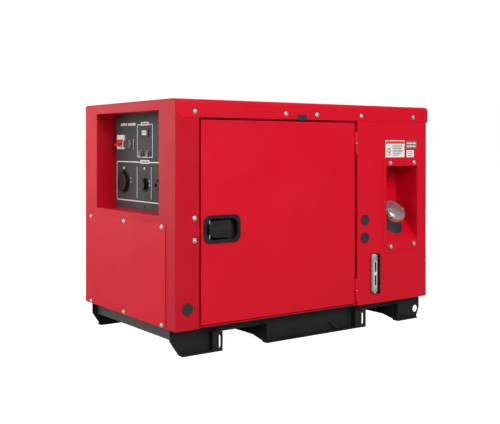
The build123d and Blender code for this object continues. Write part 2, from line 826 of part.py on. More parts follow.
with BuildPart() as latch_bezel:
    with BuildSketch(front_face):
        area(latch_x, latch_z, latch_corner)
    extrude(amount=bezel_thickness)
    fillet(latch_bezel.faces().sort_by(Axis.Y)[0].edges(), 1.5)
    with BuildSketch(front_face):
        area(
            (pan_x[0] - pan_wall, pan_x[1] + pan_wall),
            (pan_z[0] - pan_wall, pan_z[1] + pan_wall),
            pan_corner + pan_wall,
        )
    extrude(amount=-(pan_depth + pan_wall))
    with BuildSketch(front_face.offset(2 * bezel_thickness)):
        area(pan_x, pan_z, pan_corner)
    extrude(amount=-(pan_depth + 2 * bezel_thickness), mode=Mode.SUBTRACT)
    block((latch_x[0], pan_x[0] + 2), bolt_slot_y, bolt_slot_z, Mode.SUBTRACT)
    with Locations(paddle_axis):
        Cylinder(latch_pin_radius, latch_pin_length, mode=Mode.SUBTRACT)

with BuildPart() as door_pins:
    with Locations(paddle_axis):
        Cylinder(latch_pin_radius, latch_pin_length)
    for low in hinge_places:
        rod((hinge_x, hinge_y, low), (0, 0, 1), hinge_pin_radius, hinge_height)
        washer_z = low + hinge_half - washer_thickness
        rod((hinge_x, hinge_y, washer_z), (0, 0, 1), knuckle_radius + 0.5, washer_thickness)

with BuildPart() as latch_paddle:
    with BuildSketch(front_face.offset(1.0)):
        half = paddle_height / 2
        middle = above_sill(latch_centre)
        area(paddle_x, (middle - half, middle + half), 4)
        area((paddle_x[0], paddle_x[0] + pan_corner), (middle - half, middle + half), mode=Mode.SUBTRACT)
        round_end = (paddle_x[0], paddle_x[0] + 2 * pan_corner + 4)
        area(round_end, (middle - half, middle + half), pan_corner)
    extrude(amount=-paddle_thickness)
    with Locations(paddle_axis):
        Cylinder(paddle_barrel, 30)
        Cylinder(latch_pin_radius + running, 80, mode=Mode.SUBTRACT)

with BuildPart() as latch_bolt:
    tip = left + post_width + bolt_tip_gap
    block((tip, pan_x[0] + 2), bolt_y, bolt_z)

# ---------------------------------------------------------------- screws and plugs
with BuildPart() as screw:
    with BuildSketch(Plane.XZ):
        outline(
            [
                (0, -screw_length),
                (screw_radius, -screw_length),
                (screw_radius, 0),
                (screw_flange_radius, 0),
                (screw_flange_radius, 1.0),
                (screw_head_radius, 1.8),
                (screw_head_radius, screw_head_height - 1),
                (screw_head_radius - 1, screw_head_height),
                (0, screw_head_height),
            ]
        )
    revolve(axis=Axis.Z)
rail_screw = scale(screw.part, by=rail_screw_scale)


def facing_front(x, z, y=None):
    return Plane(origin=(x, front if y is None else y, z), x_dir=(1, 0, 0), z_dir=(0, -1, 0))


def facing_rear(x, z, y=None):
    return Plane(origin=(x, rear if y is None else y, z), x_dir=(1, 0, 0), z_dir=(0, 1, 0))


def facing_control(y, z, x):
    return Plane(origin=(x, y, z), x_dir=(0, 1, 0), z_dir=(-1, 0, 0))


screw_planes = [facing_front(x, roof_screw_z) for x in roof_screw_x]
screw_planes += [facing_rear(x, roof_screw_z) for x in roof_screw_x]
screw_planes += [facing_front(post_screw_x, z) for z in post_screw_z]
screw_planes += [facing_rear(post_screw_x, z) for z in post_screw_z]
screw_planes += [facing_front(x, z, front - pocket_wall) for x, z in pocket_screws]
screw_planes += [facing_control(y, z, left - cover_thickness) for y, z in cover_screws]
screw_planes += [
    Plane(origin=(right, y, z), x_dir=(0, 1, 0), z_dir=(1, 0, 0)) for y, z in exhaust_screws
]
rail_screw_planes = [facing_front(from_end(x), sill - down, webs[0]) for x, down in rail_screws]
rail_screw_planes += [facing_rear(from_end(x), sill - down, webs[1]) for x, down in rail_screws]
with BuildPart() as flange_screws:
    with Locations(*screw_planes):
        add(screw.part)
    with Locations(*rail_screw_planes):
        add(rail_screw)

with BuildPart() as plug:
    Cylinder(plug_stem_radius, 4, align=(Align.CENTER, Align.CENTER, Align.MAX))
    Cylinder(plug_radius, plug_dome, align=(Align.CENTER, Align.CENTER, Align.MIN))
    fillet(plug.edges().group_by(Axis.Z)[-1], plug_dome - 1)

with BuildPart() as rubber_plugs:
    with BuildSketch(front_face.offset(plug_dome / 2)):
        outline(grommet(clear, 2, clear))
    extrude(amount=-(sheet + plug_dome / 2))
    with Locations(*[facing_front(x, z) for x, z in plug_places]):
        add(plug.part)

# ---------------------------------------------------------------- filler, tank and gauge
boot_foot = (neck_foot[0], neck_foot[1] - boot_foot_shift, neck_foot[2] - boot_foot_shift)
with BuildPart() as filler_boot:
    with BuildSketch(Plane(origin=boot_foot, x_dir=(1, 0, 0), z_dir=(0, -1, 1))):
        Circle(boot_foot_radius)
    with BuildSketch(neck_plane.offset(boot_height)):
        Circle(boot_radius)
    loft()
    with BuildSketch(neck_plane.offset(-1)):
        Circle(neck_radius + 0.2)
    extrude(amount=boot_height + 2, mode=Mode.SUBTRACT)

neck_below = (neck_foot[2] - above_sill(tank_top)) * sqrt(2) + 25
with BuildPart() as filler_neck:
    with BuildSketch(neck_plane.offset(-neck_below)):
        Circle(neck_radius)
        Circle(neck_radius - neck_wall, mode=Mode.SUBTRACT)
    extrude(amount=neck_below + neck_above)

gasket_low = neck_above + clear
with BuildPart() as cap_gasket:
    with BuildSketch(neck_plane.offset(gasket_low)):
        Circle(neck_radius + 5)
        Circle(neck_radius - neck_wall - 2.5, mode=Mode.SUBTRACT)
    extrude(amount=gasket_height)

with BuildPart() as fuel_cap:
    with BuildSketch(neck_plane.offset(cap_low)):
        Circle(cap_radius)
    extrude(amount=cap_height)
    fillet(fuel_cap.faces().sort_by(Axis(neck_foot, (0, -1, 1)))[-1].edges(), 4)
    with BuildSketch(neck_plane.offset(cap_low - 1)):
        Circle(neck_radius + 8)
    extrude(amount=gasket_low + gasket_height + clear - cap_low + 1, mode=Mode.SUBTRACT)
    with BuildSketch(neck_plane.offset(gasket_low - 12)):
        Circle(neck_radius - neck_wall - 3)
    extrude(amount=16 + gasket_height)

tank_x = (from_end(tank_start), right - tank_end_gap)
tank_y = (front + tank_front_gap, front + tank_front_gap + tank_depth)
tank_z = (tray_top, above_sill(tank_top))
gauge_bolt_z = [above_sill(gauge_centre + side * gauge_bolt_spacing / 2) for side in (-1, 1)]
with BuildPart() as fuel_tank:
    block(tank_x, tank_y, tank_z)
    fillet(fuel_tank.edges().filter_by(Axis.Z), 12)
    block(
        (tank_x[0] + tank_wall, tank_x[1] - tank_wall),
        (tank_y[0] + tank_wall, tank_y[1] - tank_wall),
        (tank_z[0] + tank_wall, tank_z[1] - tank_wall),
        Mode.SUBTRACT,
    )
    with Locations(neck_plane):
        Cylinder(neck_radius + 0.4, 2 * (neck_below + 40), mode=Mode.SUBTRACT)
    for z in gauge_bolt_z:
        bolt_start = (from_end(gauge_x), front, z)
        rod(bolt_start, (0, 1, 0), gauge_bolt_radius + 0.1, 30, mode=Mode.SUBTRACT)

with BuildPart() as gauge_body:
    gauge_span = (from_end(gauge_x) - gauge_width / 2, from_end(gauge_x) + gauge_width / 2)
    gauge_z = (above_sill(gauge_centre) - gauge_height / 2, above_sill(gauge_centre) + gauge_height / 2)
    gauge_y = (front - guard_thickness - gauge_depth, front - guard_thickness)
    block(gauge_span, gauge_y, gauge_z)
    fillet(gauge_body.edges().filter_by(Axis.Y), gauge_width / 2 - 0.5)
    for z in gauge_bolt_z:
        rod(
            (from_end(gauge_x), front + 5, z), (0, -1, 0), gauge_bolt_radius + 0.1, 30, mode=Mode.SUBTRACT
        )
    for low, high in (
        (gauge_bolt_z[0] + gauge_head_radius, above_sill(gauge_centre) - gauge_wall),
        (above_sill(gauge_centre) + gauge_wall, gauge_bolt_z[1] - gauge_head_radius),
    ):
        block(
            (gauge_span[0] + gauge_wall, gauge_span[1] - gauge_wall),
            (gauge_y[0] + gauge_wall, gauge_y[1] - gauge_wall),
            (low, high),
            Mode.SUBTRACT,
        )

with BuildPart() as gauge_guard:
    wing = (gauge_span[1] + guard_gap, gauge_span[1] + guard_gap + guard_thickness)
    wing_z = (gauge_z[0] - guard_thickness, gauge_z[1] + guard_thickness)
    block((gauge_span[0] - guard_thickness, wing[1]), (front - guard_thickness, front), gauge_z)
    with BuildSketch(Plane.YZ.offset(wing[0])):
        outline(
            [
                (front, wing_z[0] + guard_corner),
                (front - guard_corner, wing_z[0]),
                (front - guard_stand_out, wing_z[0]),
                (front - guard_stand_out, wing_z[1]),
                (front - guard_corner, wing_z[1]),
                (front, wing_z[1] - guard_corner),
            ]
        )
    extrude(amount=guard_thickness)
    for z in gauge_bolt_z:
        rod((from_end(gauge_x), front, z), (0, -1, 0), gauge_bolt_radius + 0.1, 10, mode=Mode.SUBTRACT)

with BuildPart() as gauge_bolts:
    for z in gauge_bolt_z:
        start = (from_end(gauge_x), gauge_y[0], z)
        rod(start, (0, 1, 0), gauge_bolt_radius, front - gauge_y[0] + tank_front_gap + 8)
        with BuildSketch(facing_front(from_end(gauge_x), z, start[1])):
            RegularPolygon(gauge_head_radius, 6)
        extrude(amount=gauge_head_height)

# ---------------------------------------------------------------- control face
control_middle = sum(opening_y) / 2


def face_plane(y, z, out=0.0):
    """A plane on the control plate, facing the person who stands at the control end."""
    return facing_control(y, z, plate_x - out)


breaker = (opening_y[1] - 46, opening_z[1] - 90)
key = (opening_y[1] - 99, opening_z[1] - 97)
meter = (control_middle + 6, opening_z[1] - 62)
fuses = [(control_middle + side * 23 + 6, opening_z[1] - 127) for side in (-1, 1)]
dial = (opening_y[0] + 92, opening_z[1] - 86)
large_socket_place = (opening_y[1] - 59, opening_z[0] + 84)
small_socket_place = (control_middle + 7, opening_z[0] + 78)
terminals = [(opening_y[0] + offset, opening_z[0] + 82) for offset in (38, 104)]
lamps = [
    (large_socket_place[0], opening_z[0] + 129),
    (small_socket_place[0], opening_z[0] + 130),
    (sum(t[0] for t in terminals) / 2, opening_z[0] + 130),
]

with BuildPart() as control_plate:
    with BuildSketch(control_face.offset(recess_depth)):
        margin = recess_wall + recess_flange
        area(
            (opening_y[0] - margin, opening_y[1] + margin),
            (opening_z[0] - margin, opening_z[1] + margin),
        )
        with Locations(breaker):
            Rectangle(breaker_size[0] + 1, breaker_size[1] + 1, mode=Mode.SUBTRACT)
        with Locations(meter):
            Rectangle(meter_size[0] + 1, meter_size[1] + 1, mode=Mode.SUBTRACT)
        for place, radius in (
            (key, key_hole_radius),
            (fuses[0], fuse_hole_radius),
            (fuses[1], fuse_hole_radius),
            (dial, dial_shaft + running),
            (large_socket_place, large_socket_radius - 4.8),
            (small_socket_place, small_socket_radius - 4.8),
            (terminals[0], terminal_radius - 4.8),
            (terminals[1], terminal_radius - 4.8),
            *[(lamp, lamp_hole_radius) for lamp in lamps],
        ):
            with Locations(place):
                Circle(radius, mode=Mode.SUBTRACT)
    extrude(amount=plate_thickness)

toggle_axis_x = plate_x - breaker_proud + 2.0
with BuildPart() as main_breaker:
    half_y, half_z = breaker_size[0] / 2, breaker_size[1] / 2
    block(
        (plate_x - breaker_proud, plate_x + breaker_tail[0]),
        (breaker[0] - half_y, breaker[0] + half_y),
        (breaker[1] - half_z, breaker[1] + half_z),
    )
    block(
        (plate_x + plate_thickness, plate_x + breaker_tail[1]),
        (breaker[0] - half_y - 2, breaker[0] + half_y + 2),
        (breaker[1] - half_z - 18, breaker[1] + half_z + 18),
    )
    rod(
        (toggle_axis_x, breaker[0] - toggle_width / 2 - clear, breaker[1]),
        (0, 1, 0),
        toggle_radius + clear,
        toggle_width + 2 * clear,
        mode=Mode.SUBTRACT,
    )

with BuildPart() as breaker_toggle:
    toggle_start = (toggle_axis_x, breaker[0] - toggle_width / 2, breaker[1])
    rod(toggle_start, (0, 1, 0), toggle_radius, toggle_width)
    reach = (-cos(radians(toggle_tilt)), 0, -sin(radians(toggle_tilt)))
    with Locations(Plane(origin=(toggle_axis_x, *breaker), x_dir=(0, 1, 0), z_dir=reach)):
        Box(
            toggle_width - 4,
            toggle_thickness,
            toggle_reach,
            align=(Align.CENTER, Align.CENTER, Align.MIN),
        )
    fillet(breaker_toggle.faces().sort_by(Axis.Z)[0].edges().filter_by(Axis.Y), 2)

with BuildPart() as hour_meter:
    with BuildSketch(face_plane(*meter)):
        RectangleRounded(meter_size[0] + 2 * meter_frame, meter_size[1] + 2 * meter_frame, meter_frame)
    extrude(amount=meter_frame)
    with BuildSketch(face_plane(*meter)):
        Rectangle(*meter_size)
    extrude(amount=-behind)

with BuildPart() as fuse_holders:
    for place in fuses:
        with BuildSketch(face_plane(*place)):
            Circle(fuse_radius)
        extrude(amount=fuse_height)
        with BuildSketch(face_plane(*place)):
            Circle(fuse_hole_radius - 0.2)
        extrude(amount=-behind)
    fillet(fuse_holders.faces().group_by(Axis.X)[0].edges(), 1.5)

with BuildPart() as key_switch:
    with BuildSketch(face_plane(*key)):
        Circle(key_collar_radius)
    extrude(amount=5)
    with BuildSketch(face_plane(*key)):
        Circle(key_hole_radius - 0.2)
    extrude(amount=-behind - 10)
    with BuildSketch(face_plane(*key, 6)):
        Circle(key_radius + running)
    extrude(amount=-20, mode=Mode.SUBTRACT)

with BuildPart() as start_key:
    with BuildSketch(face_plane(*key, -12)):
        Circle(key_radius)
    extrude(amount=12 + 8)
    with BuildSketch(face_plane(*key, 6)):
        RectangleRounded(4, 22, 1.2)
    extrude(amount=20)

with BuildPart() as current_dial:
    with BuildSketch(face_plane(*dial, 1)):
        Circle(dial_radius)
    extrude(amount=dial_height, taper=6)
    with BuildSketch(face_plane(*dial, dial_height + 1)):
        Rectangle(3, 2 * dial_radius - 8)
    extrude(amount=1.5)
    with BuildSketch(face_plane(*dial, 1)):
        Circle(dial_shaft)
    extrude(amount=-22)


def socket_body(place, radius):
    """A panel socket: a round flange, a collar with a recessed insert, and a hinge lug on top."""
    with BuildPart() as body:
        with BuildSketch(face_plane(*place)):
            Circle(radius + socket_flange)
        extrude(amount=3)
        with BuildSketch(face_plane(*place)):
            Circle(radius)
            Circle(radius - 3, mode=Mode.SUBTRACT)
        extrude(amount=socket_height)
        with BuildSketch(face_plane(*place)):
            Circle(radius - 5)
        extrude(amount=-behind)
        lug_z = place[1] + radius + 5
        for side in (-1, 1):
            block(
                (plate_x - socket_height - 3, plate_x - 2),
                sorted((place[0] + side * 7, place[0] + side * 10)),
                (lug_z - 3.5, lug_z + 3.5),
            )
        lug_axis = (plate_x - socket_height, place[0] - 12, lug_z)
        rod(lug_axis, (0, 1, 0), lid_pin_radius, 24)
    return body


def socket_lid(place, radius):
    """The spring lid of a socket, hung on the lug's pin."""
    with BuildPart() as lid:
        with BuildSketch(face_plane(*place, socket_height + clear)):
            Circle(radius + 1)
        extrude(amount=lid_thickness)
        fillet(lid.faces().sort_by(Axis.X)[0].edges(), 1.5)
        lug_z = place[1] + radius + 5
        lug_x = plate_x - socket_height
        arm_x = (lug_x - clear - lid_thickness, lug_x - clear)
        block(arm_x, (place[0] - 6, place[0] + 6), (lug_z - 12, lug_z))
        rod((lug_x, place[0] - 6, lug_z), (0, 1, 0), 3.2, 12)
        bore_start = (lug_x, place[0] - 7, lug_z)
        rod(bore_start, (0, 1, 0), lid_pin_radius + running, 14, mode=Mode.SUBTRACT)
    return lid


large_socket = socket_body(large_socket_place, large_socket_radius)
large_socket_lid = socket_lid(large_socket_place, large_socket_radius)
small_socket = socket_body(small_socket_place, small_socket_radius)
small_socket_lid = socket_lid(small_socket_place, small_socket_radius)

with BuildPart() as weld_terminals:
    for place in terminals:
        with BuildSketch(face_plane(*place)):
            RegularPolygon(terminal_radius + 6, 8)
        extrude(amount=4)
        with BuildSketch(face_plane(*place)):
            Circle(terminal_radius)
        extrude(amount=terminal_height)
        with BuildSketch(face_plane(*place)):
            Circle(terminal_radius - 5)
        extrude(amount=-behind)
        with BuildSketch(face_plane(*place, terminal_height + 1)):
            Circle(terminal_bore)
        extrude(amount=-(terminal_height + 11), mode=Mode.SUBTRACT)

with BuildPart() as indicator_lamps:
    for place in lamps:
        with BuildSketch(face_plane(*place)):
            Circle(lamp_radius)
        extrude(amount=3)
        with BuildSketch(face_plane(*place)):
            Circle(lamp_hole_radius - 0.2)
        extrude(amount=-12)
    fillet(indicator_lamps.faces().group_by(Axis.X)[0].edges(), 2)

# ---------------------------------------------------------------- engine and generator
housing_x = (from_end(housing_start), from_end(housing_start + housing_length))
crankcase_x = (housing_x[1], housing_x[1] + crankcase_length)
mount_top = tray_top + mount_height
shaft = (shaft_y, shaft_height)
shaft_end = crankcase_x[1] + 54
mount_x = [housing_x[0] + 40, crankcase_x[0] + 30, crankcase_x[1] - 30]
mount_y = [shaft_y - 80, shaft_y + 80]

with BuildPart() as generator_housing:
    with BuildSketch(Plane.YZ.offset(housing_x[0])):
        with Locations(shaft):
            Circle(housing_radius)
    extrude(amount=housing_length)
    foot_y = (shaft_y - 105, shaft_y + 105)
    block((housing_x[0] + 15, housing_x[0] + 65), foot_y, (mount_top, shaft_height - 80))
    rod(
        (housing_x[0] + housing_wall, *shaft),
        (1, 0, 0),
        housing_radius - housing_wall,
        housing_length,
        mode=Mode.SUBTRACT,
    )
    rod((housing_x[0] - 1, *shaft), (1, 0, 0), shaft_radius + running, 60, mode=Mode.SUBTRACT)
    for index in range(12):
        angle = radians(30 * index + 15)
        y = shaft_y + 70 * cos(angle)
        z = shaft_height + 70 * sin(angle)
        rod((housing_x[0] - 1, y, z), (1, 0, 0), 9, housing_wall + 2, mode=Mode.SUBTRACT)

rotor_x = (housing_x[0] + housing_wall + 14, housing_x[1] - 20)
with BuildPart() as generator_rotor:
    rotor_radius = housing_radius - housing_wall - air_gap
    rod((rotor_x[0], *shaft), (1, 0, 0), rotor_radius, rotor_x[1] - rotor_x[0])
    rod((housing_x[0] + 2, *shaft), (1, 0, 0), shaft_radius, housing_length - 2)

cylinder_x = sum(crankcase_x) / 2
with BuildPart() as crankcase:
    block(
        crankcase_x,
        (shaft_y - crankcase_half_width, shaft_y + crankcase_half_width),
        (mount_top, crankcase_top),
    )
    fillet(crankcase.edges().filter_by(Axis.X), 26)
    for start, radius, size in (
        (crankcase_x[0] + 20, crank_cavity, crankcase_length - 40),
        (crankcase_x[0] - 1, shaft_radius + running, crankcase_length + 2),
    ):
        rod((start, *shaft), (1, 0, 0), radius, size, mode=Mode.SUBTRACT)
    bore_depth = crankcase_top - shaft_height + 1
    rod((cylinder_x, shaft_y, shaft_height), (0, 0, 1), barrel_bore, bore_depth, mode=Mode.SUBTRACT)

with BuildPart() as crankshaft:
    rod((crankcase_x[0], *shaft), (1, 0, 0), shaft_radius, shaft_end - crankcase_x[0])
    for offset in (-34, 14):
        rod((cylinder_x + offset, *shaft), (1, 0, 0), crank_web_radius, 20)

with BuildPart() as cylinder_barrel:
    rod((cylinder_x, shaft_y, crankcase_top), (0, 0, 1), barrel_radius, barrel_height)
    for index in range(int(barrel_height // fin_pitch)):
        z = crankcase_top + 5 + index * fin_pitch
        block(
            (cylinder_x - fin_size / 2, cylinder_x + fin_size / 2),
            (shaft_y - fin_size / 2, shaft_y + fin_size / 2),
            (z, z + fin_thickness),
        )
    bore_start = (cylinder_x, shaft_y, crankcase_top - 1)
    rod(bore_start, (0, 0, 1), barrel_bore, barrel_height + 2, mode=Mode.SUBTRACT)

head_z = (crankcase_top + barrel_height, crankcase_top + barrel_height + head_height)
head_half = fin_size / 2 - 4
with BuildPart() as cylinder_head:
    block(
        (cylinder_x - head_half + 10, cylinder_x + head_half - 10),
        (shaft_y - head_half + 10, shaft_y + head_half - 10),
        head_z,
    )
    for index in range(5):
        z = head_z[0] + index * fin_pitch
        block(
            (cylinder_x - head_half, cylinder_x + head_half),
            (shaft_y - head_half, shaft_y + head_half),
            (z, z + fin_thickness),
        )
    block(
        (cylinder_x - head_half + 14, cylinder_x + head_half - 14),
        (shaft_y - head_half + 14, shaft_y + head_half - 14),
        (head_z[1], head_z[1] + 32),
    )
    fillet(cylinder_head.edges().group_by(Axis.Z)[-1], 10)

with BuildPart() as cooling_shroud:
    shroud_x = (crankcase_x[1], crankcase_x[1] + shroud_length)
    rod((shroud_x[0], *shaft), (1, 0, 0), shroud_radius, shroud_length)
    for start, radius, size in (
        (shroud_x[0] + sheet, shroud_radius - sheet, shroud_length - 2 * sheet),
        (shroud_x[0] + 20, shroud_intake, shroud_length),
        (shroud_x[0] - 1, shaft_radius + 10, 20),
    ):
        rod((start, *shaft), (1, 0, 0), radius, size, mode=Mode.SUBTRACT)

with BuildPart() as flywheel_fan:
    fan_x = shroud_x[0] + 8
    rod((fan_x, *shaft), (1, 0, 0), fan_radius, 14)
    with Locations(Plane(origin=(fan_x + 13, *shaft), x_dir=(0, 1, 0), z_dir=(1, 0, 0))):
        with PolarLocations(fan_radius - 22, 16):
            Box(36, 3, 24, align=(Align.CENTER, Align.CENTER, Align.MIN))
    rod((fan_x - 1, *shaft), (1, 0, 0), shaft_radius, 60, mode=Mode.SUBTRACT)

with BuildPart() as rubber_mounts:
    for x in mount_x:
        for y in mount_y:
            rod((x, y, tray_top), (0, 0, 1), mount_radius, mount_height)

muffler_x = right - muffler_from_end
with BuildPart() as muffler:
    rod((muffler_x, -130, muffler_height), (0, 1, 0), muffler_radius, muffler_length)
    fillet(muffler.edges().filter_by(GeomType.CIRCLE), 14)
    port_z = head_z[0] + exhaust_port_height
    port = (cylinder_x + head_half - 10, shaft_y + 10, port_z)
    with BuildLine():
        FilletPolyline(
            port,
            (muffler_x, shaft_y + 10, port_z),
            (muffler_x, shaft_y + 10, muffler_height + 40),
            radius=35,
        )
    with BuildSketch(Plane(origin=port, z_dir=(1, 0, 0))):
        Circle(exhaust_port_radius)
    sweep()
    tailpipe_length = muffler_from_end + roof_overhang
    rod((muffler_x, tailpipe_y, muffler_height), (1, 0, 0), tailpipe_radius, tailpipe_length)
    for y in (-90, 170):
        block((muffler_x - 20, muffler_x + 20), (y, y + 4), (tank_z[1] + 0.5, muffler_height - 30))
        block((muffler_x - 20, muffler_x + 20), (y, y + 34), (tank_z[1] + 0.5, tank_z[1] + 4.5))
    rod(
        (right - 50, tailpipe_y, muffler_height), (1, 0, 0), tailpipe_radius - 2, 80, mode=Mode.SUBTRACT
    )

air_cleaner_y = shaft_y - air_cleaner_offset
with BuildPart() as air_cleaner:
    cleaner_foot = (cylinder_x, air_cleaner_y, head_z[0] - 20)
    rod(cleaner_foot, (0, 0, 1), air_cleaner_radius, air_cleaner_height)
    fillet(air_cleaner.edges().group_by(Axis.Z)[-1], 12)
    inlet = (cylinder_x, air_cleaner_y, head_z[0] + exhaust_port_height)
    rod(inlet, (0, 1, 0), exhaust_port_radius + 1, air_cleaner_offset - head_half + 10)

battery_x = (from_end(battery_from_end[0]), from_end(battery_from_end[1]))
with BuildPart() as battery:
    battery_y = (rear - battery_rear_gap - battery_width, rear - battery_rear_gap)
    battery_top = tray_top + battery_height
    block(battery_x, battery_y, (tray_top, battery_top))
    block(battery_x, (battery_y[0] - 2, battery_y[1] + 2), (battery_top - 30, battery_top - 15))
    for y in (battery_y[0] + 30, battery_y[1] - 30):
        rod((sum(battery_x) / 2, y, battery_top), (0, 0, 1), 9, 16)

with BuildPart() as weld_reactor:
    reactor_x = (from_end(reactor_from_end[0]), from_end(reactor_from_end[1]))
    reactor_y = (front + reactor_side_gap, front + reactor_side_gap + reactor_width)
    reactor_top = tray_top + reactor_height
    block(reactor_x, reactor_y, (tray_top, reactor_top))
    for index in range(int(reactor_width // reactor_fin_pitch)):
        y = reactor_y[0] + 6 + index * reactor_fin_pitch
        block(reactor_x, (y, y + reactor_fin_thickness), (reactor_top, reactor_top + reactor_fin_height))

# ---------------------------------------------------------------- the pieces
pieces = {
    "base_tray": base_tray,
    "skid_rail_front": skid_rail_front,
    "skid_rail_rear": skid_rail_rear,
    "fork_channels": fork_channels,
    "end_skirts": end_skirts,
    "control_end_panel": control_end_panel,
    "lower_end_cover": lower_end_cover,
    "control_recess_box": control_recess_box,
    "roof_panel": roof_panel,
    "front_right_panel": front_right_panel,
    "rear_panel": rear_panel,
    "exhaust_end_panel": exhaust_end_panel,
    "filler_pocket": filler_pocket,
    "door_frame": door_frame,
    "door_seal": door_seal,
    "front_door": front_door,
    "door_foam": door_foam,
    "hinge_frame_leaves": hinge_frame_leaves,
    "hinge_door_leaves": hinge_door_leaves,
    "latch_bezel": latch_bezel,
    "latch_paddle": latch_paddle,
    "latch_bolt": latch_bolt,
    "flange_screws": flange_screws,
    "door_pins": door_pins,
    "rubber_plugs": rubber_plugs,
    "filler_boot": filler_boot,
    "filler_neck": filler_neck,
    "cap_gasket": cap_gasket,
    "fuel_cap": fuel_cap,
    "fuel_tank": fuel_tank,
    "gauge_body": gauge_body,
    "gauge_guard": gauge_guard,
    "gauge_bolts": gauge_bolts,
    "control_plate": control_plate,
    "main_breaker": main_breaker,
    "breaker_toggle": breaker_toggle,
    "hour_meter": hour_meter,
    "fuse_holders": fuse_holders,
    "key_switch": key_switch,
    "start_key": start_key,
    "current_dial": current_dial,
    "large_socket": large_socket,
    "large_socket_lid": large_socket_lid,
    "small_socket": small_socket,
    "small_socket_lid": small_socket_lid,
    "weld_terminals": weld_terminals,
    "indicator_lamps": indicator_lamps,
    "generator_housing": generator_housing,
    "generator_rotor": generator_rotor,
    "crankcase": crankcase,
    "crankshaft": crankshaft,
    "cylinder_barrel": cylinder_barrel,
    "cylinder_head": cylinder_head,
    "cooling_shroud": cooling_shroud,
    "flywheel_fan": flywheel_fan,
    "rubber_mounts": rubber_mounts,
    "muffler": muffler,
    "air_cleaner": air_cleaner,
    "battery": battery,
    "weld_reactor": weld_reactor,
}

os.makedirs("parts", exist_ok=True)
for name, piece in pieces.items():
    piece.part.label = name
    export_step(piece.part, f"parts/{name}.step")
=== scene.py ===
"""Looks of the engine driven welder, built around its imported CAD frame. Lengths are in metres."""
import json
import math

import bmesh
import bpy
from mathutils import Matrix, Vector


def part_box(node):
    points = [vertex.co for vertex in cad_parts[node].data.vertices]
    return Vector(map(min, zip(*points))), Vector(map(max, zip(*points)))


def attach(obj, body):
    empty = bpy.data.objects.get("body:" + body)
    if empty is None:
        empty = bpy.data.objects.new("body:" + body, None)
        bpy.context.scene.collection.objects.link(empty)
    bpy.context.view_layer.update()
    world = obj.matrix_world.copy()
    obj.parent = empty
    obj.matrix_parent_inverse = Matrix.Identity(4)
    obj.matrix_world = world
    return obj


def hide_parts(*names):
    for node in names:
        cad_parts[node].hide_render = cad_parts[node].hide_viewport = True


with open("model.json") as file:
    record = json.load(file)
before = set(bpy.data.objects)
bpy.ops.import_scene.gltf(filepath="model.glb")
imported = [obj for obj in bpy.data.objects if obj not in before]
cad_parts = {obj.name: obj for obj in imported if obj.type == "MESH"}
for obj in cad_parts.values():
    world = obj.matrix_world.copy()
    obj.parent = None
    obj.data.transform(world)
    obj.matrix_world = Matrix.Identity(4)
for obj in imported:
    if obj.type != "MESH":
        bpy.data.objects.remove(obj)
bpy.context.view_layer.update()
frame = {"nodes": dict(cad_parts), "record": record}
MM = 0.001
bpy.context.scene.view_settings.view_transform = "Standard"


# ---------------------------------------------------------------- materials
BEVEL_SAMPLES = 4
WEAR_RADIUS = 0.0012  # how far in from an edge paint and plastic are rubbed
NEVER_WORN, FULLY_WORN = 0.995, 0.8  # cosine between a face's normal and the bevelled one
END_PANEL_SHADE_REACH = (-0.24, 0.26)  # the end panel's painted shade fades out between these Y values
NOISE_RANGE = (0.3, 0.7)  # a noise texture's values mostly lie between these


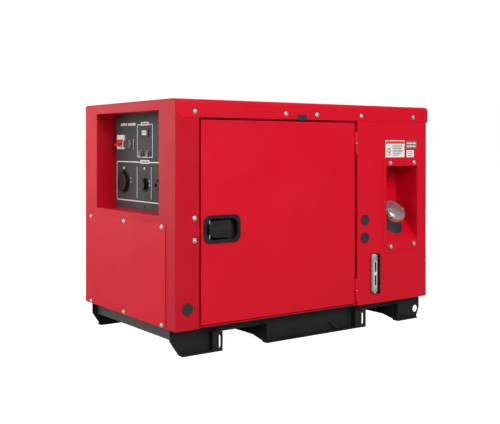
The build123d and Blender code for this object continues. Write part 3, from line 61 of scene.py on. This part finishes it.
class Finish:
    """A material under construction: short names for the nodes that finishes are made of."""

    def __init__(self, name, **values):
        self.material = bpy.data.materials.new(name)
        self.material.use_nodes = True
        self.tree = self.material.node_tree
        self.shader = self.tree.nodes["Principled BSDF"]
        for socket, value in values.items():
            self.shader.inputs[socket.replace("_", " ")].default_value = value
        self.place = self.tree.nodes.new("ShaderNodeTexCoord").outputs["Object"]

    def node(self, kind, inputs=None, **settings):
        made = self.tree.nodes.new("ShaderNode" + kind)
        for key, value in settings.items():
            setattr(made, key, value)
        for key, value in (inputs or {}).items():
            if hasattr(value, "links"):
                self.tree.links.new(value, made.inputs[key])
            else:
                made.inputs[key].default_value = value
        return made

    def link(self, output, socket):
        self.tree.links.new(output, self.shader.inputs[socket])

    def noise(self, scale, detail=3.0, roughness=0.5, stretch=None):
        place = self.place
        if stretch:
            place = self.node("Mapping", {"Vector": place, "Scale": stretch}).outputs[0]
        inputs = {"Vector": place, "Scale": scale, "Detail": detail, "Roughness": roughness}
        return self.node("TexNoise", inputs).outputs["Fac"]

    def cells(self, scale):
        return self.node("TexVoronoi", {"Vector": self.place, "Scale": scale}).outputs["Distance"]

    def remap(self, value, low, high, out_low, out_high):
        inputs = {"Value": value, "From Min": low, "From Max": high}
        inputs.update({"To Min": out_low, "To Max": out_high})
        return self.node("MapRange", inputs).outputs[0]

    def blend(self, amount, first, second):
        made = self.node("Mix", {"Factor": amount}, data_type="RGBA")
        colour_a, colour_b = made.inputs[6:8]  # a Mix node repeats A and B for each kind of data
        for socket, value in ((colour_a, first), (colour_b, second)):
            if hasattr(value, "links"):
                self.tree.links.new(value, socket)
            else:
                socket.default_value = (*value, 1)
        return made.outputs[2]

    def edges(self):
        """One near an outer edge, zero on flat faces."""
        bevel = self.node("Bevel", {"Radius": WEAR_RADIUS}, samples=BEVEL_SAMPLES)
        normal = self.node("NewGeometry").outputs["Normal"]
        dot = self.node("VectorMath", {0: bevel.outputs[0], 1: normal}, operation="DOT_PRODUCT")
        return self.remap(dot.outputs["Value"], NEVER_WORN, FULLY_WORN, 0.0, 1.0)

    def height(self, value, distance, soft_edge=None, strength=1.0):
        """Bumps up to a distance high, over edges that look rounded by soft_edge."""
        inputs = {"Height": value, "Distance": distance, "Strength": strength}
        if soft_edge:
            bevel = self.node("Bevel", {"Radius": soft_edge}, samples=BEVEL_SAMPLES)
            inputs["Normal"] = bevel.outputs[0]
        self.link(self.node("Bump", inputs).outputs[0], "Normal")

    def uneven_gloss(self, noise, roughness, smoother, rougher):
        """Roughness that follows a noise, from smoother to rougher than its middle value."""
        gloss = self.remap(noise, *NOISE_RANGE, roughness - smoother, roughness + rougher)
        self.link(gloss, "Roughness")


def painted(
    name, colour, deep, worn, roughness, peel=0.00004, wear=0.35, specular=0.3, shaded_near_side=None
):
    """Sprayed paint on sheet metal: drifting colour, orange peel, worn edges and, if a shaded
    colour is given, painted shade towards the door side.
    """
    made = Finish(name, Specular_IOR_Level=specular)
    drift = made.remap(made.noise(2.6, detail=2.0), 0.35, 0.7, 0.0, 1.0)
    base = made.blend(drift, colour, deep)
    # Painted shade: the colour is blended towards a darker red on the door side.
    if shaded_near_side:
        along = made.node("SeparateXYZ", {0: made.place}).outputs["Y"]
        base = made.blend(made.remap(along, *END_PANEL_SHADE_REACH, 1.0, 0.0), base, shaded_near_side)
    rubbing = made.noise(60.0, detail=5.0)
    scuff = made.node("Math", {0: made.edges(), 1: rubbing}, operation="MULTIPLY")
    amount = made.remap(scuff.outputs[0], 0.3, 0.65, 0.0, wear)
    made.link(made.blend(amount, base, worn), "Base Color")
    made.uneven_gloss(made.noise(9.0, detail=4.0), roughness, 0.05, 0.07)
    made.height(made.noise(620.0, detail=2.0), peel, soft_edge=WEAR_RADIUS)
    return made.material


def moulded(name, colour, light, roughness, grain=0.00005, grain_scale=1100.0, specular=0.5):
    """Moulded plastic or rubber with a fine grain."""
    made = Finish(name, Specular_IOR_Level=specular)
    rub = made.remap(made.noise(40.0, detail=5.0), 0.45, 0.8, 0.0, 0.5)
    base = made.blend(rub, colour, light)
    made.link(made.blend(made.edges(), base, light), "Base Color")
    made.uneven_gloss(made.noise(25.0), roughness, 0.06, 0.08)
    made.height(made.noise(grain_scale, detail=2.0), grain, soft_edge=0.0008)
    return made.material


def metal(
    name, colour, tarnish, roughness, stretch=None, grain_scale=400.0, grain=0.00002, metallic=1.0
):
    """Bare or plated metal with a brushed or even grain and a patchy tarnish."""
    made = Finish(name, Metallic=metallic)
    patches = made.remap(made.noise(14.0, detail=6.0, roughness=0.6), 0.4, 0.75, 0.0, 1.0)
    made.link(made.blend(patches, colour, tarnish), "Base Color")
    grain_noise = made.noise(grain_scale, stretch=stretch)
    made.uneven_gloss(grain_noise, roughness, 0.06, 0.1)
    made.height(grain_noise, grain, soft_edge=0.0006)
    return made.material


def cast(name, colour, light, roughness, metallic):
    """A sand casting: a blotched, grainy skin that is glossier between its pits."""
    made = Finish(name, Metallic=metallic)
    pits = made.cells(300.0)
    blotch = made.noise(18.0, detail=6.0)
    made.link(made.blend(made.remap(blotch, 0.35, 0.7, 0.0, 1.0), colour, light), "Base Color")
    made.link(made.remap(pits, 0.0, 0.7, roughness + 0.1, roughness - 0.1), "Roughness")
    made.height(made.noise(500.0, detail=5.0), 0.0003, strength=0.8, soft_edge=0.001)
    return made.material


def clear_moulding():
    """Clear plastic with a slight haze."""
    made = Finish("clear_moulding", Transmission_Weight=0.45, IOR=1.49)
    haze = made.noise(90.0, detail=4.0)
    made.link(made.blend(haze, (0.82, 0.85, 0.84), (0.68, 0.72, 0.72)), "Base Color")
    made.link(made.remap(haze, *NOISE_RANGE, 0.08, 0.22), "Roughness")
    made.height(made.noise(300.0, detail=2.0), 0.00002, soft_edge=0.0008)
    return made.material


def foam():
    """Dark open-pored foam with broad lumps."""
    made = Finish("acoustic_foam", Sheen_Weight=0.3, Specular_IOR_Level=0.15)
    pores = made.cells(420.0)
    waves = {"Vector": made.place, "Scale": 9.0, "Distortion": 0.6}
    lumps = made.node("TexWave", waves, wave_profile="SIN").outputs["Fac"]
    made.link(made.blend(pores, (0.012, 0.012, 0.013), (0.05, 0.05, 0.052)), "Base Color")
    made.link(made.remap(pores, 0.0, 0.8, 0.98, 0.86), "Roughness")
    both = made.node("Math", {0: pores, 1: lumps}, operation="ADD").outputs[0]
    made.height(both, 0.0012, strength=0.8)
    return made.material


def muffler_skin():
    """Aluminised steel, browned by heat."""
    made = Finish("muffler_skin", Metallic=0.85)
    heat = made.remap(made.noise(7.0, detail=5.0, roughness=0.6), 0.35, 0.7, 0.0, 1.0)
    made.link(made.blend(heat, (0.32, 0.31, 0.3), (0.2, 0.12, 0.07)), "Base Color")
    made.link(made.remap(made.noise(30.0, detail=5.0), *NOISE_RANGE, 0.42, 0.68), "Roughness")
    made.height(made.noise(260.0, detail=5.0), 0.0001, soft_edge=0.0015)
    return made.material


RED, RED_DEEP, RED_WORN = (0.61, 0.0012, 0.016), (0.565, 0.0009, 0.0135), (0.68, 0.03, 0.04)
# Painted shade: the darker red that the end panel takes on towards the door side.
RED_SHADED_NEAR_DOOR = (0.475, 0.0008, 0.0115)
PLASTIC, PLASTIC_RUBBED = (0.009, 0.009, 0.009), (0.03, 0.03, 0.029)
LIGHT_GRAIN = 0.00002  # the depth of a nearly smooth skin, in metres
finishes = {
    "red_paint": painted("red_paint", RED, RED_DEEP, RED_WORN, 0.38, specular=0.26),
    "skid_paint": painted(
        "skid_paint", (0.009, 0.009, 0.0088), (0.013, 0.013, 0.012), (0.06, 0.058, 0.052), 0.45,
        peel=0.00006, wear=0.5,
    ),
    "skirt_paint": painted(
        "skirt_paint", (0.062, 0.062, 0.058), (0.05, 0.05, 0.047), (0.14, 0.14, 0.13), 0.45
    ),
    "plate_paint": painted(
        "plate_paint", (0.058, 0.058, 0.056), (0.05, 0.05, 0.048), (0.1, 0.1, 0.095), 0.5,
        peel=LIGHT_GRAIN, wear=0.3, specular=0.2,
    ),
    "zinc": metal("zinc", (0.78, 0.76, 0.69), (0.62, 0.6, 0.52), 0.34),
    "steel": metal("steel", (0.56, 0.56, 0.55), (0.42, 0.41, 0.39), 0.3, stretch=(1, 1, 12)),
    "latch_plastic": moulded("latch_plastic", PLASTIC, PLASTIC_RUBBED, 0.5, specular=0.25),
    "black_plastic": moulded("black_plastic", PLASTIC, PLASTIC_RUBBED, 0.42, specular=0.35),
    "red_plastic": moulded("red_plastic", (0.62, 0.03, 0.035), (0.72, 0.1, 0.1), 0.35, LIGHT_GRAIN),
    "grey_plastic": moulded("grey_plastic", (0.13, 0.13, 0.13), (0.22, 0.22, 0.22), 0.4),
    "white_plastic": moulded(
        "white_plastic", (0.74, 0.74, 0.71), (0.82, 0.82, 0.8), 0.35, LIGHT_GRAIN
    ),
    "clear_plastic": clear_moulding(),
    "lamp_plastic": moulded(
        "lamp_plastic", (0.72, 0.68, 0.6), (0.85, 0.83, 0.78), 0.22, grain=0.00001
    ),
    "rubber": moulded(
        "rubber", (0.02, 0.02, 0.0195), (0.045, 0.044, 0.042), 0.68,
        grain=0.00006, grain_scale=900.0, specular=0.35,
    ),
    "foam": foam(),
    "chrome": metal(
        "chrome", (0.62, 0.6, 0.61), (0.45, 0.42, 0.43), 0.2,
        grain_scale=60.0, grain=0.000004, metallic=0.8,
    ),
    "cast_aluminium": cast("cast_aluminium", (0.42, 0.42, 0.41), (0.58, 0.57, 0.55), 0.5, 0.9),
    "cast_iron": cast("cast_iron", (0.028, 0.029, 0.031), (0.055, 0.056, 0.06), 0.55, 0.3),
    "tank_paint": painted(
        "tank_paint", (0.02, 0.02, 0.021), (0.028, 0.028, 0.029), (0.1, 0.1, 0.1), 0.42
    ),
    "muffler_paint": muffler_skin(),
    "battery_plastic": moulded("battery_plastic", (0.018, 0.018, 0.02), (0.05, 0.05, 0.052), 0.5),
}
# Painted shade: the end panel's red is darker towards the door side, as it is in the photo.
end_panel_shaded_paint = painted(
    "end_panel_shaded_paint", RED, RED_DEEP, RED_WORN, 0.38, specular=0.26, shaded_near_side=RED_SHADED_NEAR_DOOR
)
slot_of = {part["node"]: part["material_slot"] for part in frame["record"]["subparts"]}
for node_name, piece in frame["nodes"].items():
    piece.data.materials.clear()
    piece.data.materials.append(finishes[slot_of[node_name]])
frame["nodes"]["control_end_panel"].data.materials[0] = end_panel_shaded_paint


# ---------------------------------------------------------------- shapes
CORNER_STEPS = 5
SMOOTH_BELOW, BEVEL_ABOVE = math.radians(30), math.radians(35)


def rounded(u, v, radius):
    """A rounded rectangle's outline, anticlockwise, between the low and high values of u and v."""
    points = []
    corners = (
        (u[1] - radius, v[1] - radius, 0),
        (u[0] + radius, v[1] - radius, 90),
        (u[0] + radius, v[0] + radius, 180),
        (u[1] - radius, v[0] + radius, 270),
    )
    for cu, cv, start in corners:
        for step in range(CORNER_STEPS + 1):
            angle = math.radians(start + 90 * step / CORNER_STEPS)
            points.append((cu + radius * math.cos(angle), cv + radius * math.sin(angle)))
    return points


def circle(u, v, radius, count=40):
    turns = [2 * math.pi * index / count for index in range(count)]
    return [(u + radius * math.cos(turn), v + radius * math.sin(turn)) for turn in turns]


def mark(centre, size):
    """A plain rectangle's outline about its centre."""
    low_u, low_v = centre[0] - size[0] / 2, centre[1] - size[1] / 2
    high_u, high_v = centre[0] + size[0] / 2, centre[1] + size[1] / 2
    return [(low_u, low_v), (high_u, low_v), (high_u, high_v), (low_u, high_v)]


def in_mm(profile):
    return [(radius * MM, height * MM) for radius, height in profile]


def show(data, name, body, slot):
    """Puts a mesh in the scene, smooth-shaded, in its slot's finish and riding on a body."""
    piece = bpy.data.objects.new(name, data)
    bpy.context.collection.objects.link(piece)
    data.materials.append(finishes[slot])
    for face in data.polygons:
        face.use_smooth = True
    data.set_sharp_from_angle(angle=SMOOTH_BELOW)
    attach(piece, body)
    return piece


class Shape:
    """A mesh that is drawn on a plane: u and v run along it and w stands out of it."""

    def __init__(self, origin, u_axis, v_axis, w_axis):
        self.mesh = bmesh.new()
        self.origin = Vector(origin)
        self.axes = [Vector(axis).normalized() for axis in (u_axis, v_axis, w_axis)]

    def point(self, u, v, w):
        place = self.origin + self.axes[0] * u + self.axes[1] * v + self.axes[2] * w
        return self.mesh.verts.new(place)

    def prism(self, points, low, high):
        """A solid with the outline's shape, between two heights."""
        rows = [[self.point(u, v, w) for u, v in points] for w in (low, high)]
        self._wall(rows[0], rows[1])
        self.mesh.faces.new(rows[0][::-1])
        self.mesh.faces.new(rows[1])

    def ring(self, outer, inner, low, high):
        """A solid between two outlines with as many points each."""
        loops = ((outer, low), (outer, high), (inner, high), (inner, low))
        rows = [[self.point(u, v, w) for u, v in points] for points, w in loops]
        for first, second in zip(rows, rows[1:] + rows[:1]):
            self._wall(first, second)

    def turned(self, profile, centre, count):
        """A surface turned about w: the profile is (radius, height), and starts on the axis."""
        rows = []
        for radius, w in profile:
            points = circle(*centre, radius, count) if radius > 0 else [centre]
            rows.append([self.point(u, v, w) for u, v in points])
        for first, second in zip(rows, rows[1:]):
            self._wall(first, second)

    def _wall(self, first, second):
        """Faces between two rows of points, either of which may be a single point."""
        count = max(len(first), len(second))
        for index in range(count):
            after = (index + 1) % count
            corners = [first[index % len(first)], first[after % len(first)],
                       second[after % len(second)], second[index % len(second)]]
            kept = list(dict.fromkeys(corners))
            if len(kept) > 2:
                self.mesh.faces.new(kept)

    def done(self, name, body, slot, bevel=0.0):
        """Ends the drawing and shows it, with its edges softened if bevel says how far."""
        bmesh.ops.recalc_face_normals(self.mesh, faces=self.mesh.faces)
        data = bpy.data.meshes.new(name)
        self.mesh.to_mesh(data)
        self.mesh.free()
        piece = show(data, name, body, slot)
        if bevel:
            made = piece.modifiers.new("soft edges", "BEVEL")
            made.width, made.segments, made.limit_method = bevel, 2, "ANGLE"
            made.angle_limit = BEVEL_ABOVE


PLATE_EDGE = 13.5 * MM  # the control plate's border, behind the recess' wall
panel_low, panel_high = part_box("control_plate")
plate_x = panel_low[0]
open_y = (panel_low[1] + PLATE_EDGE, panel_high[1] - PLATE_EDGE)
open_z = (panel_low[2] + PLATE_EDGE, panel_high[2] - PLATE_EDGE)
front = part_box("front_right_panel")[0][1]
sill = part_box("control_end_panel")[0][2]


def on_control():
    """Drawing on the control plate: u runs along Y, v is the height."""
    return Shape((plate_x, 0, 0), (0, 1, 0), (0, 0, 1), (-1, 0, 0))


def on_side(out=0.0):
    """Drawing on the door side: u runs along X, v is the height."""
    return Shape((0, front - out, 0), (1, 0, 0), (0, 0, 1), (0, -1, 0))


def middle(node):
    """The centre of a CAD piece's box."""
    low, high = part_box(node)
    return [(a + b) / 2 for a, b in zip(low, high)]


# ---------------------------------------------------------------- control plate
INK = 0.25 * MM  # how far the print stands out of the plate
TITLE_Z = open_z[0] + 269.5 * MM  # the upper row of headings


def dial_scale(art):
    """Eleven ticks round the current dial; the first, middle and last are longer."""
    first_angle, spacing = -45, 27
    foot, half_width = 27 * MM, 1.1
    y, z = middle("current_dial")[1:]
    for index in range(11):
        turn = math.radians(first_angle + spacing * index)
        length = 9 * MM if index % 5 == 0 else 6.5 * MM
        direction = Vector((math.cos(turn), math.sin(turn)))
        across = Vector((-direction.y, direction.x)) * half_width * MM
        start, stop = direction * foot, direction * (foot + length)
        corners = [start - across, stop - across, stop + across, start + across]
        art.prism([(y + corner.x, z + corner.y) for corner in corners], 0, INK)


def control_print():
    """White lines, frames and plain bars printed on the control plate."""
    low_y, high_y = open_y
    low_z = open_z[0]
    art = on_control()

    def outline(u, v, radius, width):
        inner_u, inner_v = (u[0] + width, u[1] - width), (v[0] + width, v[1] - width)
        art.ring(rounded(u, v, radius), rounded(inner_u, inner_v, radius - width), 0, INK)

    def title_tab(u, v):
        art.prism(rounded(u, v, 1.5 * MM), 0, 2 * INK)

    def bars(places, size):
        for place in places:
            art.prism(mark(place, size), 0, INK)

    outlets_u, outlets_v = (low_y + 5 * MM, high_y - 5 * MM), (low_z + 24 * MM, low_z + 151 * MM)
    outline(outlets_u, outlets_v, 9 * MM, 3.4 * MM)
    divider_z, divider = low_z + 85.5 * MM, (2.2 * MM, 99 * MM)
    bars([(high_y - in_from_edge * MM, divider_z) for in_from_edge in (146.5, 238.4)], divider)

    meter_y = middle("hour_meter")[1]
    meter_u, meter_v = (meter_y - 49 * MM, meter_y + 52 * MM), (low_z + 164 * MM, low_z + 268 * MM)
    outline(meter_u, meter_v, 4 * MM, 2.6 * MM)
    title_tab((meter_y - 29 * MM, meter_y + 29 * MM), (low_z + 145 * MM, low_z + 156 * MM))
    title_tab((meter_y - 23 * MM, meter_y + 26 * MM), (low_z + 264 * MM, low_z + 275 * MM))

    heading, second_z = (9 * MM, 8.5 * MM), low_z + 269.0 * MM
    bars([(high_y - (39.5 + 11 * index) * MM, TITLE_Z) for index in range(4)], heading)
    bars([(high_y - (89 + 10.6 * index) * MM, second_z) for index in range(5)], heading)

    key_y, key_z = middle("key_switch")[1:]
    beside_key, key_dash = key_y - 22.5 * MM, (3.2 * MM, 4.4 * MM)
    bars([(beside_key, key_z + (14 - 7 * index) * MM) for index in range(5)], key_dash)
    dial_scale(art)
    socket_dash = (3.2 * MM, 6 * MM)
    for name, reach in (("large_socket", 46), ("small_socket", 29)):
        y, z = middle(name)[1:]
        bars([(y - reach * MM, z + up * MM) for up in (0, 12)], socket_dash)

    # A minus under one weld terminal and a plus under the other, the plus in three bars.
    minus_y, plus_y = panel_low[1] + 54.5 * MM, panel_low[1] + 120.5 * MM
    weld_z = middle("weld_terminals")[2]
    bars([(minus_y, weld_z - 34 * MM), (plus_y, weld_z - 34 * MM)], (10 * MM, 2.4 * MM))
    upright = (2.4 * MM, 3.8 * MM)
    bars([(plus_y, weld_z + (half * 3.1 - 34) * MM) for half in (-1, 1)], upright)
    art.done("control_print", "cabinet", "white_plastic")


def label_bars():
    """Plain dark bars on the two title tabs, where a maker prints its headings."""
    bar, spacing = (4.6 * MM, 4.4 * MM), 6.6
    foot, top = 0.4 * MM, 0.62 * MM
    meter_y = middle("hour_meter")[1]
    lower, upper = (meter_y, open_z[0] + 150.5 * MM), (meter_y + 1.5 * MM, TITLE_Z)
    art = on_control()
    for centre, count in ((lower, 7), (upper, 6)):
        for index in range(count):
            u = centre[0] + (index - (count - 1) / 2) * spacing * MM
            art.prism(mark((u, centre[1]), bar), foot, top)
    art.done("label_bars", "cabinet", "plate_paint")


def plate_screws():
    """Black machine screws that hold the control plate."""
    profile = in_mm(((0, 2.4), (1.6, 2.4), (2.0, 1.5), (2.3, 2.2), (3.6, 1.4), (4.2, 0.0)))
    (low_y, high_y), (low_z, high_z) = open_y, open_z
    art = on_control()
    for z in (low_z + 10 * MM, high_z - 12 * MM):
        for y in (low_y + 14 * MM, (low_y + high_y) / 2 + 11 * MM, high_y - 14 * MM):
            art.turned(profile, (y, z), 24)
    art.done("plate_screws", "cabinet", "black_plastic")


def meter_window():
    """The hour meter's pale window, and a plain frame in the place of each digit."""
    y, z = middle("hour_meter")[1:]
    face = plate_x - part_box("hour_meter")[0][0]
    glass = face + 0.5 * MM
    window = on_control()
    window_u, window_v = (y - 14 * MM, y + 14 * MM), (z - 7 * MM, z + 7 * MM)
    window.prism(rounded(window_u, window_v, 1.2 * MM), face, glass)
    window.done("meter_window", "cabinet", "white_plastic")
    digits = on_control()
    for index in range(5):
        u = y + (index - 2) * 4.9 * MM
        outer = rounded((u - 1.6 * MM, u + 1.6 * MM), (z - 3 * MM, z + 3 * MM), 0.5 * MM)
        inner = rounded((u - 0.9 * MM, u + 0.9 * MM), (z - 2.2 * MM, z + 2.2 * MM), 0.3 * MM)
        digits.ring(outer, inner, glass, face + 0.65 * MM)
    digits.done("meter_digits", "cabinet", "black_plastic")


# ---------------------------------------------------------------- screws
def loose_parts(mesh):
    """The vertices of each part of a mesh that is joined to no other part."""
    seen = set()
    for vert in mesh.verts:
        if vert in seen:
            continue
        part, queue = [], [vert]
        seen.add(vert)
        while queue:
            one = queue.pop()
            part.append(one)
            for edge in one.link_edges:
                other = edge.other_vert(one)
                if other not in seen:
                    seen.add(other)
                    queue.append(other)
        yield part


def split_copy(node, name, keep, body, slot):
    """The loose parts of a CAD piece that a test picks, as one piece of their own."""
    source = frame["nodes"][node]
    mesh = bmesh.new()
    mesh.from_mesh(source.data)
    bmesh.ops.transform(mesh, matrix=source.matrix_world, verts=mesh.verts)
    bmesh.ops.remove_doubles(mesh, verts=mesh.verts, dist=1e-6)
    gone = []
    for part in loose_parts(mesh):
        centre = sum((vert.co for vert in part), Vector()) / len(part)
        if not keep(centre):
            gone += part
    bmesh.ops.delete(mesh, geom=gone, context="VERTS")
    data = bpy.data.meshes.new(name)
    mesh.to_mesh(data)
    mesh.free()
    return show(data, name, body, slot)


def screws():
    """The cabinet's screws are bright zinc; the skid's are painted with it."""
    node = "flange_screws"
    parts = (
        split_copy(node, "bright_screws", lambda centre: centre.z > sill, "cabinet", "zinc"),
        split_copy(node, "skid_screws", lambda centre: centre.z <= sill, "cabinet", "skid_paint"),
    )
    for piece in parts:
        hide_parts("flange_screws")


def bezel_screws():
    """Small black screws in the corners of the latch's bezel."""
    inset = 9 * MM
    profile = in_mm(((0, 0.9), (1.3, 0.9), (1.5, 0.4), (2.6, 0.9), (3.0, 0.0)))
    low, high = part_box("latch_bezel")
    art = on_side(front - low[1])
    for x in (low[0] + inset, high[0] - inset):
        for z in (low[2] + inset, high[2] - inset):
            art.turned(profile, (x, z), 20)
    art.done("bezel_screws", "door", "black_plastic")


# ---------------------------------------------------------------- plugs, filler cap and gauge
def plug_rims():
    """The raised rims of the round plugs."""
    profile = in_mm(((17.4, 1.0), (16.8, 3.3), (15.6, 3.9), (14.2, 3.5), (13.2, 2.8)))
    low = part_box("rubber_plugs")[0]
    round_plugs = ((low[0] + 17.5 * MM, 138 * MM), (213 * MM, 354 * MM), (213 * MM, 296 * MM))
    art = on_side()
    for x, z in round_plugs:
        for (outer, foot), (inner, top) in zip(profile, profile[1:]):
            art.ring(circle(x, z, outer), circle(x, z, inner), min(foot, top), max(foot, top))
    art.done("plug_rims", "cabinet", "rubber", 0.2 * MM)


def cap_trim():
    """The pressed cap's flutes, its rolled band, its dome and its pull tab."""
    flutes, flute_depth = 24, 0.75 * MM
    steps, band_steps, dome_steps = flutes * 6, 96, 64
    joints = {joint["name"]: joint for joint in frame["record"]["behaviour"]["joints"]}
    neck = joints["cap_turn"]["pos_m"]

    def on_cap():
        return Shape(neck, (1, 0, 0), (0, 1, 1), (0, -1, 1))

    def fluted(radius):
        points = []
        for index in range(steps):
            turn = 2 * math.pi * index / steps
            wavy = radius + flute_depth * math.cos(flutes * turn)
            points.append((wavy * math.cos(turn), wavy * math.sin(turn)))
        return points

    art = on_cap()
    art.ring(fluted(41.2 * MM), circle(0, 0, 39.8 * MM, steps), 29 * MM, 39 * MM)
    band_outer, band_inner = 42.6 * MM, 40.0 * MM
    art.ring(
        circle(0, 0, band_outer, band_steps), circle(0, 0, band_inner, band_steps),
        41 * MM, 43.4 * MM,
    )
    dome = (
        (0, 54.6), (9, 54.4), (18, 53.4), (25, 51.8), (27, 50.9),
        (29.5, 51.6), (32, 51.2), (34, 49.9), (34, 49.2), (0, 49.2),
    )
    art.turned(in_mm(dome), (0, 0), dome_steps)
    art.done("cap_trim", "cap", "chrome", 0.0004)
    tab = on_cap()
    tab.prism(rounded((32 * MM, 41 * MM), (-5 * MM, 5 * MM), 2 * MM), 47 * MM, 52 * MM)
    tab.done("cap_tab", "cap", "chrome", 0.0006)


def gauge_trim():
    """The level gauge's two dark windows, their bright frames and the bar between them."""
    half_width, half_height, rim = 4.2 * MM, 17 * MM, 2.2 * MM
    off_middle = 22.5 * MM
    low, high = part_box("gauge_body")
    x, z = (low[0] + high[0]) / 2, (low[2] + high[2]) / 2
    out = front - low[1]
    frames = on_side(out)
    glass = on_side(out)
    for side in (-1, 1):
        window_z = z + side * off_middle
        u, v = (x - half_width, x + half_width), (window_z - half_height, window_z + half_height)
        window = rounded(u, v, 1.5 * MM)
        border = rounded((u[0] - rim, u[1] + rim), (v[0] - rim, v[1] + rim), 3 * MM)
        frames.ring(border, window, 0, 1.1 * MM)
        glass.prism(window, 0, 0.4 * MM)
    frames.prism(mark((x, z), (13 * MM, 5 * MM)), 0, 1.4 * MM)
    frames.done("gauge_frames", "cabinet", "white_plastic", 0.0003)
    glass.done("gauge_windows", "cabinet", "black_plastic")


# ---------------------------------------------------------------- labels and fuses
def labels():
    """A plain notice, a plain metal plate and a small blank label above the filler."""
    thick, plate_thick = 0.2 * MM, 0.5 * MM
    notice_u, notice_v = (306 * MM, 395 * MM), (557 * MM, 614 * MM)
    small_u, small_v = (405 * MM, 440 * MM), (557 * MM, 581 * MM)
    plate_u, plate_v = (402 * MM, 453 * MM), (587 * MM, 612 * MM)
    line_lengths = (46, 50, 43, 50, 47, 40, 30)
    paper, red_ink, grey_ink, plate = on_side(), on_side(), on_side(), on_side()

    def printed(ink, u, v, width, height):
        ink.prism(mark((u * MM, v * MM), (width * MM, height * MM)), thick, 2 * thick)

    paper.prism(rounded(notice_u, notice_v, 1.5 * MM), 0, thick)
    paper.prism(rounded(small_u, small_v, 1 * MM), 0, thick)
    printed(red_ink, 350.5, 607, 86, 9)
    ring_u, ring_v = 323 * MM, 580 * MM
    outer, inner = circle(ring_u, ring_v, 8.5 * MM), circle(ring_u, ring_v, 4.8 * MM)
    red_ink.ring(outer, inner, thick, 2 * thick)
    printed(red_ink, 323, 565.5, 15, 3)
    for index, length in enumerate(line_lengths):
        printed(grey_ink, 339 + length / 2, 597 - 5.4 * index, length, 2.2)
    for index in range(3):
        printed(grey_ink, 422, 575 - 6 * index, 24, 2.0)
    plate.prism(rounded(plate_u, plate_v, 1.5 * MM), 0, plate_thick)
    for u, width in ((411, 10), (425, 12), (441, 14)):
        for v in (594, 604):
            field = mark((u * MM, v * MM), (width * MM, 5 * MM))
            paper.prism(field, plate_thick, plate_thick + thick)
    paper.done("label_paper", "cabinet", "white_plastic")
    red_ink.done("label_red", "cabinet", "red_plastic")
    grey_ink.done("label_grey", "cabinet", "grey_plastic")
    plate.done("label_plate", "cabinet", "grey_plastic")


def fuse_rings():
    """Bright rings round the fuse caps and a coin slot across each."""
    holder_radius = 10 * MM
    low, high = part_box("fuse_holders")
    out = plate_x - low[0]
    z = (low[2] + high[2]) / 2
    rings, slots = on_control(), on_control()
    for y in (low[1] + holder_radius, high[1] - holder_radius):
        rings.ring(circle(y, z, 11.6 * MM), circle(y, z, 9.8 * MM), 0, 2.2 * MM)
        slots.prism(mark((y, z), (9 * MM, 1.8 * MM)), out, out + 0.3 * MM)
    rings.done("fuse_rings", "cabinet", "steel", 0.0003)
    slots.done("fuse_slots", "cabinet", "black_plastic")


control_print()
label_bars()
plate_screws()
meter_window()
screws()
bezel_screws()
plug_rims()
cap_trim()
gauge_trim()
labels()
fuse_rings()


# ---------------------------------------------------------------- stage, light and camera
BACKDROP_GLOW, FLOOR_GLOW, DIM_SURROUND = 1.0, 0.98, 0.2
SOFTBOXES = (  # name, place, what it points at, size in metres, power in watts
    ("key_softbox", (-0.6, -4.4, 2.8), (0.2, 0, 0.45), 2.4, 215),
    ("end_softbox", (-4.2, -0.2, 2.0), (-0.5, 0, 0.4), 2.2, 96),
    ("sheen_softbox", (-3.2, 2.9, 1.6), (-0.4, 0, 0.4), 3.2, 60),
    ("top_softbox", (0.2, -0.4, 3.6), (0, 0, 0.4), 3.0, 9),
    ("back_softbox", (3.8, 3.4, 1.4), (0, 0, 0.4), 2.4, 115),
)


def seen_directly(tree):
    """One for what the camera sees directly, zero for light and reflections."""
    return tree.nodes.new("ShaderNodeLightPath").outputs["Is Camera Ray"]


def floor_and_world():
    """A floor and a backdrop that look white but light the machine only dimly."""
    finish = Finish("studio_floor", Roughness=0.7, Specular_IOR_Level=0.1)
    mottle = finish.noise(3.0)
    finish.link(finish.blend(mottle, (0.42, 0.42, 0.42), (0.4, 0.4, 0.4)), "Base Color")
    finish.link(finish.blend(mottle, (0.98, 0.98, 0.98), (0.97, 0.97, 0.97)), "Emission Color")
    glow = finish.remap(seen_directly(finish.tree), 0, 1, 0.0, FLOOR_GLOW)
    finish.link(glow, "Emission Strength")
    bpy.ops.mesh.primitive_plane_add(size=30, location=(0, 0, 0))
    floor = bpy.context.object
    floor.name = "studio_floor"
    floor.data.materials.append(finish.material)
    world = bpy.data.worlds.new("studio")
    bpy.context.scene.world = world
    world.use_nodes = True
    tree = world.node_tree
    background = tree.nodes["Background"]
    background.inputs["Color"].default_value = (1, 1, 1, 1)
    span = tree.nodes.new("ShaderNodeMapRange")
    span.inputs["To Min"].default_value = DIM_SURROUND
    span.inputs["To Max"].default_value = BACKDROP_GLOW
    tree.links.new(seen_directly(tree), span.inputs["Value"])
    tree.links.new(span.outputs[0], background.inputs["Strength"])


def softboxes():
    for name, place, target, size, power in SOFTBOXES:
        data = bpy.data.lights.new(name, "AREA")
        data.size, data.energy = size, power
        lamp = bpy.data.objects.new(name, data)
        bpy.context.collection.objects.link(lamp)
        lamp.location = place
        aim = Vector(target) - Vector(place)
        lamp.rotation_euler = aim.to_track_quat("-Z", "Y").to_euler()


def camera():
    """The photo's viewpoint, with the frame shifted down instead of the camera tilted."""
    data = bpy.data.cameras.new("camera")
    data.sensor_width, data.lens = 36.0, 60.6528
    data.shift_y = -0.1314
    eye = bpy.data.objects.new("camera", data)
    bpy.context.collection.objects.link(eye)
    eye.location = (-1.687, -2.314, 0.594)
    eye.rotation_euler = (math.radians(90), 0, math.radians(-35.48))
    bpy.context.scene.camera = eye


floor_and_world()
softboxes()
camera()
